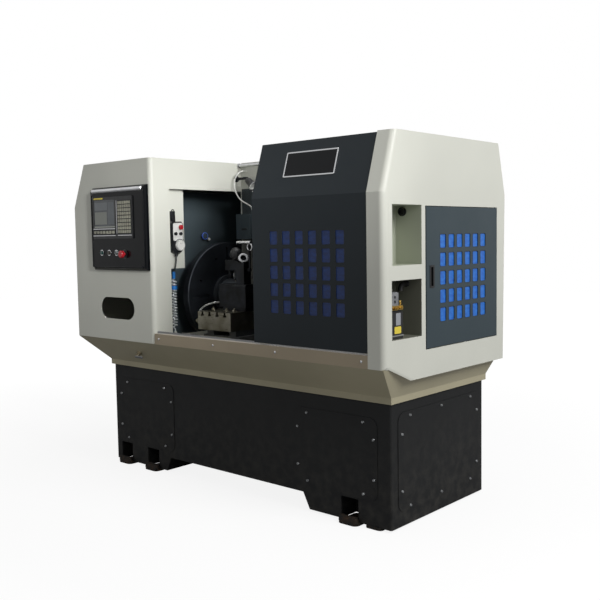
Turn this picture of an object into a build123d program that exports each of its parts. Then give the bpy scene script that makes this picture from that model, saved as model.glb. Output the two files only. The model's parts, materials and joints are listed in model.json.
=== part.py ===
from build123d import *
import os
from math import cos, radians, sin, sqrt

os.makedirs("parts", exist_ok=True)

# Frame: x runs along the bed to the tailstock end, y to the back, z up.
# The origin is on the floor, below the middle of the base.

# Base and chip tray
base_length, base_depth, base_top = 2000, 788, 577
base_clearance = 12
arch_height = 90
arch_left, arch_right = (-536, -503), (523, 483)
pocket_width, pocket_top, pocket_depth = 100, 118, 120
pocket_feet_x, plain_foot_x = (-900, -656, 767), 900
foot_row_y = 344
anchor_hole_r = 9
tray_lip, tray_lip_top, tray_rim = 12, 606, 750
tray_floor = 590
tray_left, tray_right, tray_front, tray_back = -1125, 1074, -547, 471

# Covers
sheet = 3
pod_right, pod_top, pod_bottom = -421, 1735, 751
pod_slope_z, pod_slope_x = 1494, -1020
corner_r = 25
end_start, end_face = 994, 1080
fold_z, cover_top, slope_y = 1488, 1746, -464
back_slope = ((404, 1738), (468, 1497))
side_low, side_high = 788, 1574
side_front, side_back = -422, 115
apron_top = 807

# Sliding hood and its fixed guard
hood_left, hood_right, hood_low = 321, 1060, 815
hood_gap, hood_sheet = 5, 2.5
guard_left, guard_right, guard_gap = 318, 950, 42
window_w, window_h, window_r = 50, 63, 8
hood_window = (652.5, 1147.5, 78, 78.5)
door_window = (75.5, 1115, 70.6, 82.2)

# End door
door_front, door_back, door_low, door_high = -235, 388, 808, 1431
door_face, door_depth = 1083, 22
door_pin = (1075, 383)

# Spindle line
axis_z = 985
faceplate_r, faceplate_x = 297, (-475, -432)
faceplate_pcd, faceplate_holes, faceplate_hole_r = 440, 8, 7
mandrel_end = -262
spindle_r, bearing_r, bearing_w = 60, 105, 50
head_left, head_right = -1000, -625
pulley_x, spindle_pulley_r, motor_pulley_r = (-1075, -1012), 110, 60
motor_y, motor_z, motor_r = 330, 860, 90

# Bed, saddle and cross slide
bed_y, way_top, way_base = 190, 745, 725
screw_z, screw_r = 690, 16
table_x, table_y, table_z = (-261, -11), (-380, -130), (826, 922)
block_x, block_y, block_z = (-200, 0), (-280, -190), (941, 1063)
post_x, post_y, head_z = -57, -235, 1191
roller_r, roller_w = 50, 24
roller_centre = (-190, -130, 1105)
quill_r, quill_tip, quill_end, pad_r = 40, 70, 860, 45
tail_x = (330, 640)
running = 0.05
slide_gap = 0.3

# Control panel and hand pendant
panel_x, panel_z, panel_front = (-923, -440), (1140, 1596), -577
unit_x, unit_z = (-893, -535), (1313, 1541)
button_x, button_z, button_r = (-825, -757, -691), 1236, 11
stop_x, stop_z, stop_r = -621, 1229, 20
strip_x, pendant_front = -445, -417
wheel_yz, wheel_r = (-362, 1272), 30
knob_yz, knob_r = ((-391, 1334), (-357, 1334)), 8
pendant_stop_yz = (-357, 1369)


def block(low, high, mode=Mode.ADD):
    # a box between two corners, in the part being made
    size = [b - a for a, b in zip(low, high)]
    middle = [(a + b) / 2 for a, b in zip(low, high)]
    with Locations(tuple(middle)):
        Box(*size, mode=mode)


def outline(plane, points):
    # a closed face with straight sides
    with BuildSketch(plane) as drawn:
        with BuildLine():
            Polyline(*points, close=True)
        make_face()
    return drawn.sketch


def rod(start, end, radius, mode=Mode.ADD):
    # a round bar from one point to another
    along = Vector(*end) - Vector(*start)
    plane = Plane(origin=start, z_dir=along)
    with BuildSketch(plane) as circle:
        Circle(radius)
    extrude(circle.sketch, amount=along.length, mode=mode)


def shifted(points, distance, closed=False):
    # the folded line moved sideways to its right, with mitred corners
    count = len(points)
    result = []
    for i, point in enumerate(points):
        sides = []
        if i > 0 or closed:
            sides.append((points[i - 1], point))
        if i < count - 1 or closed:
            sides.append((point, points[(i + 1) % count]))
        normals = []
        for a, b in sides:
            length = sqrt((b[0] - a[0]) ** 2 + (b[1] - a[1]) ** 2)
            normals.append(((b[1] - a[1]) / length, (a[0] - b[0]) / length))
        nx = sum(n[0] for n in normals) / len(normals)
        ny = sum(n[1] for n in normals) / len(normals)
        scale = distance / (nx * nx + ny * ny)
        result.append((point[0] + nx * scale, point[1] + ny * scale))
    return result


def folded(points, near, thickness):
    # the section of a folded sheet that lies to the right of the line
    return shifted(points, near) + shifted(points, near + thickness)[::-1]


def tube(points, diameter):
    # a hose of straight runs joined by the largest arcs that they allow
    path = [Vector(*p) for p in points]
    radii = []
    for before, corner, after in zip(path, path[1:], path[2:]):
        run_in, run_out = corner - before, after - corner
        turn = radians(run_in.get_angle(run_out))
        half = sin(turn / 2) / cos(turn / 2)
        radii.append(0.45 * min(run_in.length, run_out.length) / half)
    print("bend radii", [round(r) for r in radii])
    with BuildLine() as route:
        FilletPolyline(*path, radius=radii)
    with BuildSketch(Plane(origin=path[0], z_dir=path[1] - path[0])) as section:
        Circle(diameter / 2)
    return sweep(section.sketch, path=route.line, mode=Mode.PRIVATE)


# Base: a boxed frame on two feet, with pockets for the anchor bolts
half_x, half_y = base_length / 2, base_depth / 2
foot_places = []
for foot_x in (*pocket_feet_x, plain_foot_x):
    foot_places.append((foot_x, -foot_row_y))
    foot_places.append((foot_x, foot_row_y))
with BuildPart() as base_frame:
    front_view = [(-half_x, base_clearance), (arch_left[0], base_clearance), (arch_left[1], arch_height),
                  (arch_right[1], arch_height), (arch_right[0], base_clearance),
                  (half_x, base_clearance), (half_x, base_top), (-half_x, base_top)]
    extrude(outline(Plane.XZ.offset(-half_y), front_view), amount=base_depth)
    fillet(base_frame.edges().filter_by(Axis.Z).filter_by_position(Axis.X, -half_x - 1, -half_x + 1), 10)
    fillet(base_frame.edges().filter_by(Axis.Z).filter_by_position(Axis.X, half_x - 1, half_x + 1), 10)
    for foot_x, foot_y in foot_places:
        if foot_x == plain_foot_x:
            block((foot_x - 50, foot_y - 42, base_clearance - 1), (foot_x + 50, foot_y + 42, pocket_top),
                  Mode.SUBTRACT)
            continue
        inner = foot_y - pocket_depth / 2 if foot_y > 0 else foot_y + pocket_depth / 2
        outer = half_y + 1 if foot_y > 0 else -half_y - 1
        block((foot_x - pocket_width / 2, min(inner, outer), base_clearance - 1),
              (foot_x + pocket_width / 2, max(inner, outer), pocket_top), Mode.SUBTRACT)
base_frame.part.label = "base_frame"
export_step(base_frame.part, "parts/base_frame.step")

# Levelling feet: cast pads with a rounded nose, each with its anchor hole, a stud and nuts
with BuildPart() as levelling_feet:
    for foot_x, foot_y in foot_places:
        outward = 1 if foot_y > 0 else -1
        with BuildSketch() as pad:
            with Locations((foot_x, foot_y)):
                RectangleRounded(92, 112, 20)
            if foot_x != plain_foot_x:
                with Locations((foot_x + 4, foot_y + outward * 40)):
                    RectangleRounded(112, 86, 26)
            with Locations((foot_x, foot_y + outward * 12)):
                Circle(anchor_hole_r, mode=Mode.SUBTRACT)
        extrude(amount=base_clearance)
        if foot_x != plain_foot_x:
            with BuildSketch(Plane.XY.offset(base_clearance)) as shoulder:
                with Locations((foot_x + 4, foot_y + outward * 66)):
                    RectangleRounded(108, 28, 12)
            extrude(amount=24, taper=8)
levelling_feet.part.label = "levelling_feet"
export_step(levelling_feet.part, "parts/levelling_feet.step")

# Base covers: plates with eared corners over the access holes
cover_z, front_cover_w, front_cover_h = 315, 490, 375
end_cover_w, end_cover_h = 700, 450
front_cover_x = (-710, 681)
cover_plate = 2.5
screw_up, screw_across = (91.5, 164), (167, 226)
with BuildPart() as base_covers:
    for face_y, direction in ((-half_y, 1), (half_y, -1)):
        for cover_x in front_cover_x:
            with BuildSketch(Plane.XZ.offset(-face_y)) as plate:
                with Locations((cover_x, cover_z)):
                    RectangleRounded(front_cover_w, front_cover_h, 40)
            extrude(amount=direction * cover_plate)
    for face_x, direction in ((half_x, 1), (-half_x, -1)):
        with BuildSketch(Plane.YZ.offset(face_x)) as plate:
            with Locations((8, 302)):
                RectangleRounded(end_cover_w, end_cover_h, 45)
        extrude(amount=direction * cover_plate)
base_covers.part.label = "base_covers"
export_step(base_covers.part, "parts/base_covers.step")

# Cover screws: round heads round the edge of each plate
head_r, head_h = 7, 5
front_screws = [(sx * screw_across[0], sz * screw_up[1]) for sx in (-1, 1) for sz in (-1, 1)]
front_screws += [(sx * screw_across[1], sz * screw_up[0]) for sx in (-1, 1) for sz in (-1, 1)]
end_screws = [(-258, 205), (0, 207), (262, 208), (-322, 128), (324, 132),
              (-322, -130), (324, -130), (-258, -207), (0, -207), (262, -205)]
with BuildPart() as cover_screws:
    for face_y, direction in ((-half_y, 1), (half_y, -1)):
        start = face_y - direction * cover_plate
        spots = [(cover_x + dx, cover_z + dz) for cover_x in front_cover_x for dx, dz in front_screws]
        with BuildSketch(Plane.XZ.offset(-start)):
            with Locations(*spots):
                Circle(head_r)
        extrude(amount=direction * head_h, taper=20)
    for face_x, direction in ((half_x, 1), (-half_x, -1)):
        start = face_x + direction * cover_plate
        with BuildSketch(Plane.YZ.offset(start)):
            with Locations(*[(8 + dy, 302 + dz) for dy, dz in end_screws]):
                Circle(head_r)
        extrude(amount=direction * head_h, taper=20)
cover_screws.part.label = "cover_screws"
export_step(cover_screws.part, "parts/cover_screws.step")

# Chip tray: a lip round the base, then walls that flare out to carry the covers
wall = 6
with BuildPart() as chip_tray:
    lip_x, lip_y = half_x + tray_lip, half_y + tray_lip
    block((-lip_x, -lip_y, base_top), (lip_x, lip_y, tray_lip_top))
    mid_x, mid_y = (tray_left + tray_right) / 2, (tray_front + tray_back) / 2
    rim_w, rim_d = tray_right - tray_left, tray_back - tray_front
    with BuildSketch(Plane.XY.offset(tray_lip_top)):
        Rectangle(2 * lip_x, 2 * lip_y)
    with BuildSketch(Plane.XY.offset(tray_rim)):
        with Locations((mid_x, mid_y)):
            Rectangle(rim_w, rim_d)
    loft()
    block((8 - lip_x, 8 - lip_y, tray_floor), (lip_x - 8, lip_y - 8, tray_lip_top + 1), Mode.SUBTRACT)
    with BuildSketch(Plane.XY.offset(tray_lip_top)) as low_inside:
        Rectangle(2 * lip_x - 16, 2 * lip_y - 16)
    with BuildSketch(Plane.XY.offset(tray_rim)) as high_inside:
        with Locations((mid_x, mid_y)):
            Rectangle(rim_w - 2 * wall, rim_d - 2 * wall)
    loft([low_inside.sketch, high_inside.sketch], mode=Mode.SUBTRACT)
chip_tray.part.label = "chip_tray"
export_step(chip_tray.part, "parts/chip_tray.step")

# Front apron: an upright strip with a top flange that carries the front track
with BuildPart() as front_apron:
    section = [(tray_front, tray_rim), (tray_front, apron_top), (-512, apron_top), (-512, apron_top - sheet),
               (tray_front + sheet, apron_top - sheet), (tray_front + sheet, tray_rim)]
    extrude(outline(Plane.YZ.offset(pod_right), section), amount=end_start - pod_right)
    block((end_start, tray_front + sheet + 0.5, apron_top - sheet), (1050, -512, apron_top))
front_apron.part.label = "front_apron"
export_step(front_apron.part, "parts/front_apron.step")

# Hood rails: a square bar on the apron and a round bar on stand-offs at the back
rail_y, rail_z, rail_r = 98, 1722, 8
track_y = (-530, -518)
with BuildPart() as hood_rails:
    block((-418, track_y[0], apron_top), (1050, track_y[1], apron_top + 12))
    rod((-417, rail_y, rail_z), (1074, rail_y, rail_z), rail_r)
    for bracket_x in range(-380, 1000, 330):
        block((bracket_x - 15, rail_y + 4, rail_z - 3), (bracket_x + 15, 118, rail_z + 3))
    rod((-417, rail_y, rail_z), (-412, rail_y, rail_z), rail_r + 5)
hood_rails.part.label = "hood_rails"
export_step(hood_rails.part, "parts/hood_rails.step")

# Left pod: a folded housing over the headstock, open to the work area on its right
pod_outline = [(tray_left, pod_bottom), (tray_left, pod_slope_z), (pod_slope_x, pod_top),
               (pod_right, pod_top), (pod_right, pod_bottom)]
pod_back_cut = [(406, pod_top), (tray_back, fold_z), (600, fold_z), (600, 1900), (406, 1900)]
with BuildPart() as pod_cavity:
    inside = shifted(pod_outline, sheet, closed=True)
    inside[0] = (inside[0][0], pod_bottom - 5)
    inside[-1] = (inside[-1][0], pod_bottom - 5)
    pod_depth = tray_back - tray_front
    extrude(outline(Plane.XZ.offset(sheet - tray_back), inside), amount=pod_depth - 2 * sheet)
    cut = shifted(pod_back_cut[:2], sheet) + [(600, fold_z), (600, 1900), (400, 1900)]
    extrude(outline(Plane.YZ.offset(-1200), cut), amount=900, mode=Mode.SUBTRACT)
    front_edge = pod_cavity.edges().filter_by(Axis.Z).sort_by(Axis.Y)[0:2].sort_by(Axis.X)[-1]
    fillet(front_edge, corner_r - sheet)
with BuildPart() as left_pod:
    extrude(outline(Plane.XZ.offset(-tray_back), pod_outline), amount=tray_back - tray_front)
    extrude(outline(Plane.YZ.offset(-1200), pod_back_cut), amount=900, mode=Mode.SUBTRACT)
    front_edge = left_pod.edges().filter_by(Axis.Z).sort_by(Axis.Y)[0:2].sort_by(Axis.X)[-1]
    fillet(front_edge, corner_r)
    add(pod_cavity.part, mode=Mode.SUBTRACT)
    # the side opening towards the work, with a flange along its sill
    block((pod_right - 5, side_front, side_low), (pod_right + 1, side_back, side_high), Mode.SUBTRACT)
    block((pod_right - 27, side_front, side_low - sheet), (pod_right + 8, -330, side_low))
    rod((-426, -401, side_low), (-426, -401, side_low + 10), 10)
    rod((-426, -401, side_low + 10), (-426, -401, side_low + 18), 7)
    # the round-ended inspection hole and the cut-out behind the control panel
    with BuildSketch(Plane.XZ.offset(-tray_front - 5)):
        with Locations((-741, 928)):
            SlotOverall(304, 120)
    extrude(amount=10, mode=Mode.SUBTRACT)
    block((-900, tray_front - 1, 1165), (-462, tray_front + 4, 1570), Mode.SUBTRACT)
    # the inner strip that carries the hand pendant
    block((strip_x - sheet, tray_front + 1, 1146), (strip_x, -305, pod_top - 1))
left_pod.part.label = "left_pod"
export_step(left_pod.part, "parts/left_pod.step")

# Rear cabinet: a folded box across the top of the work area
with BuildPart() as rear_cabinet:
    cabinet = [(468, 1303), (118, 1303), (118, 1738), back_slope[0], back_slope[1]]
    cabinet_x = (-418, 992)
    extrude(outline(Plane.YZ.offset(cabinet_x[0]), folded(cabinet, 0, sheet)),
            amount=cabinet_x[1] - cabinet_x[0])
    for cap_x in (cabinet_x[0], cabinet_x[1] - sheet):
        extrude(outline(Plane.YZ.offset(cap_x), cabinet), amount=sheet)
    # the valve box on its face, with its fitting for the air hose and the port that feeds it
    block((-385, 40, 1300), (-275, 118, 1438))
    rod((-295, 75, 1438), (-295, 75, 1452), 8)
    rod((-295, 75, 1452), (-295, 75, 1462), 6.5)
    rod((-380, 118, 1690), (-380, 108, 1690), 7)
rear_cabinet.part.label = "rear_cabinet"
export_step(rear_cabinet.part, "parts/rear_cabinet.step")

# Rear wall: the back plate, with a field of louvre slots
with BuildPart() as rear_wall:
    block((pod_right, tray_back - sheet, pod_bottom), (992, tray_back, 1497))
    with BuildSketch(Plane.XZ.offset(-tray_back)):
        with Locations((-60, 1400), (640, 1400)):
            with GridLocations(0, 24, 1, 6):
                SlotOverall(220, 10)
    extrude(amount=sheet, mode=Mode.SUBTRACT)
rear_wall.part.label = "rear_wall"
export_step(rear_wall.part, "parts/rear_wall.step")

# Right end cover: a pan with two niches and the door opening, and a skirt over the tray
end_outline = [(-389, 684), (tray_front, 750), (tray_front, fold_z), (slope_y, cover_top),
               (406, cover_top), (tray_back, 1497), (456, 684)]
niches = (((-484, -268), (1182, 1437)), ((-490, -270), (870, 1119)))
niche_back, niche_sheet = 942, 2.5
opening_front, opening_back = door_front - 3.5, door_back + 5.5
opening_low, opening_high = door_low - 3.5, door_high + 3.5
with BuildPart() as end_cavity:
    extrude(outline(Plane.YZ.offset(end_start - 1), shifted(end_outline, sheet, closed=True)),
            amount=end_face - sheet - end_start + 1)
    right_edges = end_cavity.edges().filter_by_position(Axis.X, end_face - sheet - 0.1, end_face)
    fillet(right_edges.filter_by_position(Axis.Y, -546, -461), corner_r - sheet)
    block((end_start - 2, -700, 500), (end_face - sheet, 700, tray_rim + 0.5))
with BuildPart() as right_end_cover:
    extrude(outline(Plane.YZ.offset(end_start), end_outline), amount=end_face - end_start)
    right_edges = right_end_cover.edges().filter_by_position(Axis.X, end_face - 0.1, end_face + 0.1)
    fillet(right_edges.filter_by_position(Axis.Y, -548, -461), corner_r)
    add(end_cavity.part, mode=Mode.SUBTRACT)
    block((end_face - 5, opening_front, opening_low),
          (end_face + 1, opening_back, opening_high), Mode.SUBTRACT)
    for (low_y, high_y), (low_z, high_z) in niches:
        edge = niche_sheet
        block((niche_back, low_y - edge, low_z - edge),
              (end_face - sheet + 0.5, high_y + edge, high_z + edge))
        block((niche_back + edge, low_y, low_z), (end_face + 1, high_y, high_z), Mode.SUBTRACT)
    for low_z, high_z in ((opening_high, opening_high + 7), (opening_low - 7, opening_low)):
        block((door_pin[0] - 12, door_pin[1] - 12, low_z), (end_face, opening_back + 4, high_z))
        rod((*door_pin, low_z - 1), (*door_pin, high_z + 1), 4 + running, Mode.SUBTRACT)
right_end_cover.part.label = "right_end_cover"
export_step(right_end_cover.part, "parts/right_end_cover.step")


# Window grid shared by the hood and the end door
def window_grid(pitch_across, pitch_up):
    with GridLocations(pitch_across, pitch_up, 6, 5):
        RectangleRounded(window_w, window_h, window_r)


# End door: a pan with rows of windows, pivoting on pins at its back corners
with BuildPart() as end_door:
    block((door_face - door_depth, door_front, door_low), (door_face, door_back, door_high))
    fillet(end_door.edges().group_by(Axis.X)[-1], 2)
    block((door_face - door_depth - 1, door_front + sheet, door_low + sheet),
          (door_face - sheet, door_back - sheet, door_high - sheet), Mode.SUBTRACT)
    with BuildSketch(Plane.YZ.offset(door_face - 5)):
        with Locations((door_window[0], door_window[1])):
            window_grid(door_window[2], door_window[3])
    extrude(amount=10, mode=Mode.SUBTRACT)
    block((door_face - 5, -205, 1079), (door_face + 1, -178, 1170), Mode.SUBTRACT)
    for low_z, high_z in ((door_high - 8, door_high), (door_low, door_low + 8)):
        block((door_face - door_depth + 4, door_back - 14, low_z), (door_face - 1, door_back - 1, high_z))
    rod((*door_pin, door_high - 8), (*door_pin, door_high + 10), 4)
    rod((*door_pin, door_low - 10), (*door_pin, door_low + 8), 4)
end_door.part.label = "end_door"
export_step(end_door.part, "parts/end_door.step")

# Door pane: a tinted sheet close behind the windows, in a frame of its own
with BuildPart() as door_pane:
    pane_y, pane_z = (-152, 303), (893, 1337)
    block((1068, pane_y[0], pane_z[0]), (door_face - sheet, pane_y[1], pane_z[1]))
    block((1067, pane_y[0] + 12, pane_z[0] + 12), (door_face - sheet - 3, pane_y[1] - 12, pane_z[1] - 12),
          Mode.SUBTRACT)
door_pane.part.label = "door_pane"
export_step(door_pane.part, "parts/door_pane.step")

# Door handle: a recessed grip with a narrow flange
with BuildPart() as door_handle:
    block((door_face - 16, -204.5, 1079.5), (door_face, -178.5, 1169.5))
    block((door_face, -209, 1075), (door_face + 2.5, -174, 1174))
    block((door_face - 13, -201.5, 1083), (door_face + 3, -184, 1166), Mode.SUBTRACT)
door_handle.part.label = "door_handle"
export_step(door_handle.part, "parts/door_handle.step")

# Sliding hood: a folded sheet that follows the end cover's outline from inside
hood_line = [(tray_front, hood_low), (tray_front, fold_z), (slope_y, cover_top), (112, cover_top)]
hood_width = hood_right - hood_left
with BuildPart() as sliding_hood:
    extrude(outline(Plane.YZ.offset(hood_left), folded(hood_line, hood_gap, hood_sheet)), amount=hood_width)
    flange_line = [(tray_front, apron_top + 15), *hood_line[1:-1], (76, cover_top)]
    for flange_x in (hood_left, hood_right - hood_sheet):
        extrude(outline(Plane.YZ.offset(flange_x), folded(flange_line, hood_gap, 20)), amount=hood_sheet)
    with BuildSketch(Plane.XZ.offset(-tray_front - 10)):
        with Locations((hood_window[0], hood_window[1])):
            window_grid(hood_window[2], hood_window[3])
    extrude(amount=10, mode=Mode.SUBTRACT)
sliding_hood.part.label = "sliding_hood"
export_step(sliding_hood.part, "parts/sliding_hood.step")

# Hood pane: a tinted sheet close behind the hood's windows, in a frame of its own
hood_inner_y = tray_front + hood_gap + hood_sheet
with BuildPart() as hood_pane:
    block((410, hood_inner_y, 930), (895, hood_inner_y + 10, 1365))
    block((424, hood_inner_y + 3, 944), (881, hood_inner_y + 11, 1351), Mode.SUBTRACT)
hood_pane.part.label = "hood_pane"
export_step(hood_pane.part, "parts/hood_pane.step")

# Hood shoes: nylon blocks that ride on the front track and the rear bar
with BuildPart() as hood_shoes:
    for shoe_x in (hood_left + 60, hood_right - 60):
        block((shoe_x - 30, hood_inner_y, 812), (shoe_x + 30, -511.5, 838))
        block((shoe_x - 31, track_y[0] - slide_gap, 800),
              (shoe_x + 31, track_y[1] + slide_gap, apron_top + 12 + slide_gap), Mode.SUBTRACT)
        block((shoe_x - 30, rail_y - 14, rail_z - 11), (shoe_x + 30, rail_y + 10, cover_top - 7.5))
        rod((shoe_x - 31, rail_y, rail_z), (shoe_x + 31, rail_y, rail_z), rail_r + slide_gap, Mode.SUBTRACT)
        block((shoe_x - 31, rail_y, rail_z - 7), (shoe_x + 31, rail_y + 11, rail_z + 7), Mode.SUBTRACT)
hood_shoes.part.label = "hood_shoes"
export_step(hood_shoes.part, "parts/hood_shoes.step")

# Tailstock guard: the fixed sheet behind the hood, over the tailstock half
with BuildPart() as tailstock_guard:
    guard_line = [(tray_front, apron_top + 42), (tray_front, fold_z), (slope_y, cover_top), (118, cover_top)]
    guard_width = guard_right - guard_left
    guard_sheet = folded(guard_line, guard_gap, hood_sheet)
    extrude(outline(Plane.YZ.offset(guard_left), guard_sheet), amount=guard_width)
    extrude(outline(Plane.YZ.offset(guard_left), folded(guard_line, guard_gap, 22)), amount=hood_sheet)
    for foot_x in (guard_left + 20, guard_right - 40):
        block((foot_x, tray_front + guard_gap, apron_top - sheet - 30), (foot_x + 30, -502.5, 860))
        block((foot_x, -512, apron_top - sheet - 3), (foot_x + 30, -502.5, apron_top - sheet))
tailstock_guard.part.label = "tailstock_guard"
export_step(tailstock_guard.part, "parts/tailstock_guard.step")

# Bed: a casting with a gap below the faceplate and two raised ways
with BuildPart() as bed:
    side_view = [(-1000, tray_floor), (1000, tray_floor), (1000, way_base), (-380, way_base),
                 (-380, 660), (-600, 660), (-600, 760), (-1000, 760)]
    extrude(outline(Plane.XZ.offset(-bed_y), side_view), amount=2 * bed_y)
    for low_y, high_y in ((-bed_y, -110), (110, bed_y)):
        block((-380, low_y, way_base), (1000, high_y, way_top))
    block((-360, -90, 640), (970, 90, way_base + 1), Mode.SUBTRACT)
    for cut_x in (-200, 100, 400, 700):
        block((cut_x, -bed_y - 1, 625), (cut_x + 200, -bed_y + 25, 700), Mode.SUBTRACT)
    block((1000, -45, screw_z - 45), (1010, 45, screw_z + 45))
    rod((-381, 0, screw_z), (-359, 0, screw_z), 12 + running, Mode.SUBTRACT)
    rod((969, 0, screw_z), (1001, 0, screw_z), 12 + running, Mode.SUBTRACT)
bed.part.label = "bed"
export_step(bed.part, "parts/bed.step")

# Headstock: a casting with bearing seats at both ends
with BuildPart() as headstock:
    end_view = [(-bed_y, 760), (-bed_y, 1080), (-120, 1180), (120, 1180), (bed_y, 1080), (bed_y, 760)]
    extrude(outline(Plane.YZ.offset(head_left), end_view), amount=head_right - head_left)
    rod((head_left - 1, 0, axis_z), (head_right + 1, 0, axis_z), 75, Mode.SUBTRACT)
    rod((head_left - 1, 0, axis_z), (head_left + bearing_w, 0, axis_z), bearing_r, Mode.SUBTRACT)
    rod((head_right - bearing_w, 0, axis_z), (head_right + 1, 0, axis_z), bearing_r, Mode.SUBTRACT)
headstock.part.label = "headstock"
export_step(headstock.part, "parts/headstock.step")

# Spindle bearings: one ring in each seat
with BuildPart() as spindle_bearings:
    for start_x in (head_left, head_right - bearing_w):
        with BuildSketch(Plane.YZ.offset(start_x)):
            with Locations((0, axis_z)):
                Circle(bearing_r)
                Circle(spindle_r + running, mode=Mode.SUBTRACT)
        extrude(amount=bearing_w)
spindle_bearings.part.label = "spindle_bearings"
export_step(spindle_bearings.part, "parts/spindle_bearings.step")

# Headstock guard: a flat panel across the pod, between the bearings and the faceplate
with BuildPart() as headstock_guard:
    block((-612, -430, 762), (-609, 455, 1480))
    block((-612, -430, 1480), (-609, 425, 1572))
    rod((-613, 0, axis_z), (-608, 0, axis_z), spindle_r + 20, Mode.SUBTRACT)
    block((head_right, -170, 1080), (-612, -120, 1110))
    block((head_right, 120, 1080), (-612, 170, 1110))
    rod((-609, -19, 1320), (-591, -19, 1320), 20)
    rod((-609, 12, 1301), (-597, 12, 1301), 8)
headstock_guard.part.label = "headstock_guard"
export_step(headstock_guard.part, "parts/headstock_guard.step")

# Spindle: the turned shaft with its nose flange and the driven pulley
with BuildPart() as spindle:
    with BuildSketch(Plane.XZ):
        with BuildLine():
            Polyline((-1082, axis_z), (-1082, axis_z + 30), (pulley_x[0], axis_z + 30),
                     (pulley_x[0], axis_z + spindle_pulley_r), (pulley_x[1], axis_z + spindle_pulley_r),
                     (pulley_x[1], axis_z + spindle_r), (-495, axis_z + spindle_r), (-495, axis_z + 120),
                     (faceplate_x[0], axis_z + 120), (faceplate_x[0], axis_z), close=True)
        make_face()
    revolve(axis=Axis((0, 0, axis_z), (1, 0, 0)))
spindle.part.label = "spindle"
export_step(spindle.part, "parts/spindle.step")

# Faceplate: a round plate with eight bolt holes and four clamping slots
with BuildPart() as faceplate:
    with BuildSketch(Plane.YZ.offset(faceplate_x[0])):
        with Locations((0, axis_z)):
            Circle(faceplate_r)
            with PolarLocations(faceplate_pcd / 2, faceplate_holes, start_angle=22.5):
                Circle(faceplate_hole_r, mode=Mode.SUBTRACT)
    extrude(amount=faceplate_x[1] - faceplate_x[0])
    chamfer(faceplate.edges().group_by(Axis.X)[-1].sort_by(SortBy.LENGTH)[-1], 4)
    with BuildSketch(Plane.YZ.offset(faceplate_x[1] - 12)):
        with Locations((0, axis_z)):
            with PolarLocations(205, 4, start_angle=0):
                SlotOverall(130, 16)
    extrude(amount=13, mode=Mode.SUBTRACT)
faceplate.part.label = "faceplate"
export_step(faceplate.part, "parts/faceplate.step")

# Mandrel: the turned form that the sheet is pressed over
with BuildPart() as mandrel:
    with BuildSketch(Plane.XZ):
        with BuildLine():
            Polyline((mandrel_end, axis_z + 34), (mandrel_end, axis_z), (faceplate_x[1], axis_z),
                     (faceplate_x[1], axis_z + 110), (-414, axis_z + 110), (-414, axis_z + 88))
            Spline((-414, axis_z + 88), (-340, axis_z + 76), (-285, axis_z + 52), (mandrel_end, axis_z + 34))
        make_face()
    revolve(axis=Axis((0, 0, axis_z), (1, 0, 0)))
mandrel.part.label = "mandrel"
export_step(mandrel.part, "parts/mandrel.step")

# Drive motor: a finned frame with a foot that bolts to the headstock
with BuildPart() as drive_motor:
    with BuildSketch(Plane.YZ.offset(-980)):
        with Locations((motor_y, motor_z)):
            Circle(motor_r)
            with PolarLocations(motor_r, 20):
                Rectangle(14, 5)
    extrude(amount=230)
    rod((-1000, motor_y, motor_z), (-980, motor_y, motor_z), motor_r - 6)
    rod((-750, motor_y, motor_z), (-700, motor_y, motor_z), motor_r - 2)
    block((-950, bed_y, motor_z - 70), (-780, motor_y - 40, motor_z - 40))
    block((-950, bed_y, motor_z + 40), (-780, motor_y - 40, motor_z + 70))
    rod((-1001, motor_y, motor_z), (-940, motor_y, motor_z), 19 + running, Mode.SUBTRACT)
drive_motor.part.label = "drive_motor"
export_step(drive_motor.part, "parts/drive_motor.step")

# Motor pulley on its shaft
with BuildPart() as motor_pulley:
    rod((pulley_x[0], motor_y, motor_z), (pulley_x[1], motor_y, motor_z), motor_pulley_r)
    rod((pulley_x[1], motor_y, motor_z), (-945, motor_y, motor_z), 19)
motor_pulley.part.label = "motor_pulley"
export_step(motor_pulley.part, "parts/motor_pulley.step")

# Drive belt: a flat loop round both pulleys
with BuildPart() as drive_belt:
    with BuildSketch(Plane.YZ.offset(pulley_x[0] + 8)) as loop:
        with Locations((0, axis_z)):
            Circle(spindle_pulley_r + slide_gap + 6)
        with Locations((motor_y, motor_z)):
            Circle(motor_pulley_r + slide_gap + 6)
        make_hull()
    extrude(amount=47)
    with BuildSketch(Plane.YZ.offset(pulley_x[0] + 7)) as hollow:
        with Locations((0, axis_z)):
            Circle(spindle_pulley_r + slide_gap)
        with Locations((motor_y, motor_z)):
            Circle(motor_pulley_r + slide_gap)
        make_hull()
    extrude(amount=49, mode=Mode.SUBTRACT)
drive_belt.part.label = "drive_belt"
export_step(drive_belt.part, "parts/drive_belt.step")

# Saddle: a slab on the ways with two guides for the cross slide and the screw nut below
saddle_x = (-275, 5)
with BuildPart() as saddle:
    block((saddle_x[0], -330, way_top + slide_gap), (saddle_x[1], 240, 795))
    for low_x in (-245, -75):
        block((low_x, -330, 795), (low_x + 50, 240, table_z[0] - slide_gap))
    block((-190, -60, screw_z - 35), (-110, 60, way_top + 1))
    rod((-191, 0, screw_z), (-109, 0, screw_z), screw_r + running, Mode.SUBTRACT)
    for low_y in (-330, bed_y + 1):
        block((saddle_x[0], low_y, 700), (saddle_x[1], low_y + (139 if low_y < 0 else 40), way_top + 1))
    block((-190, 240, 740), (-110, 262, 820))
    rod((-150, 262, 780), (-150, 380, 780), 38)
saddle.part.label = "saddle"
export_step(saddle.part, "parts/saddle.step")

# Feed screw: turned along the bed between its two end bearings
with BuildPart() as feed_screw:
    rod((-356, 0, screw_z), (966, 0, screw_z), screw_r)
    rod((-378, 0, screw_z), (-356, 0, screw_z), 12)
    rod((966, 0, screw_z), (999, 0, screw_z), 12)
feed_screw.part.label = "feed_screw"
export_step(feed_screw.part, "parts/feed_screw.step")

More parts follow.
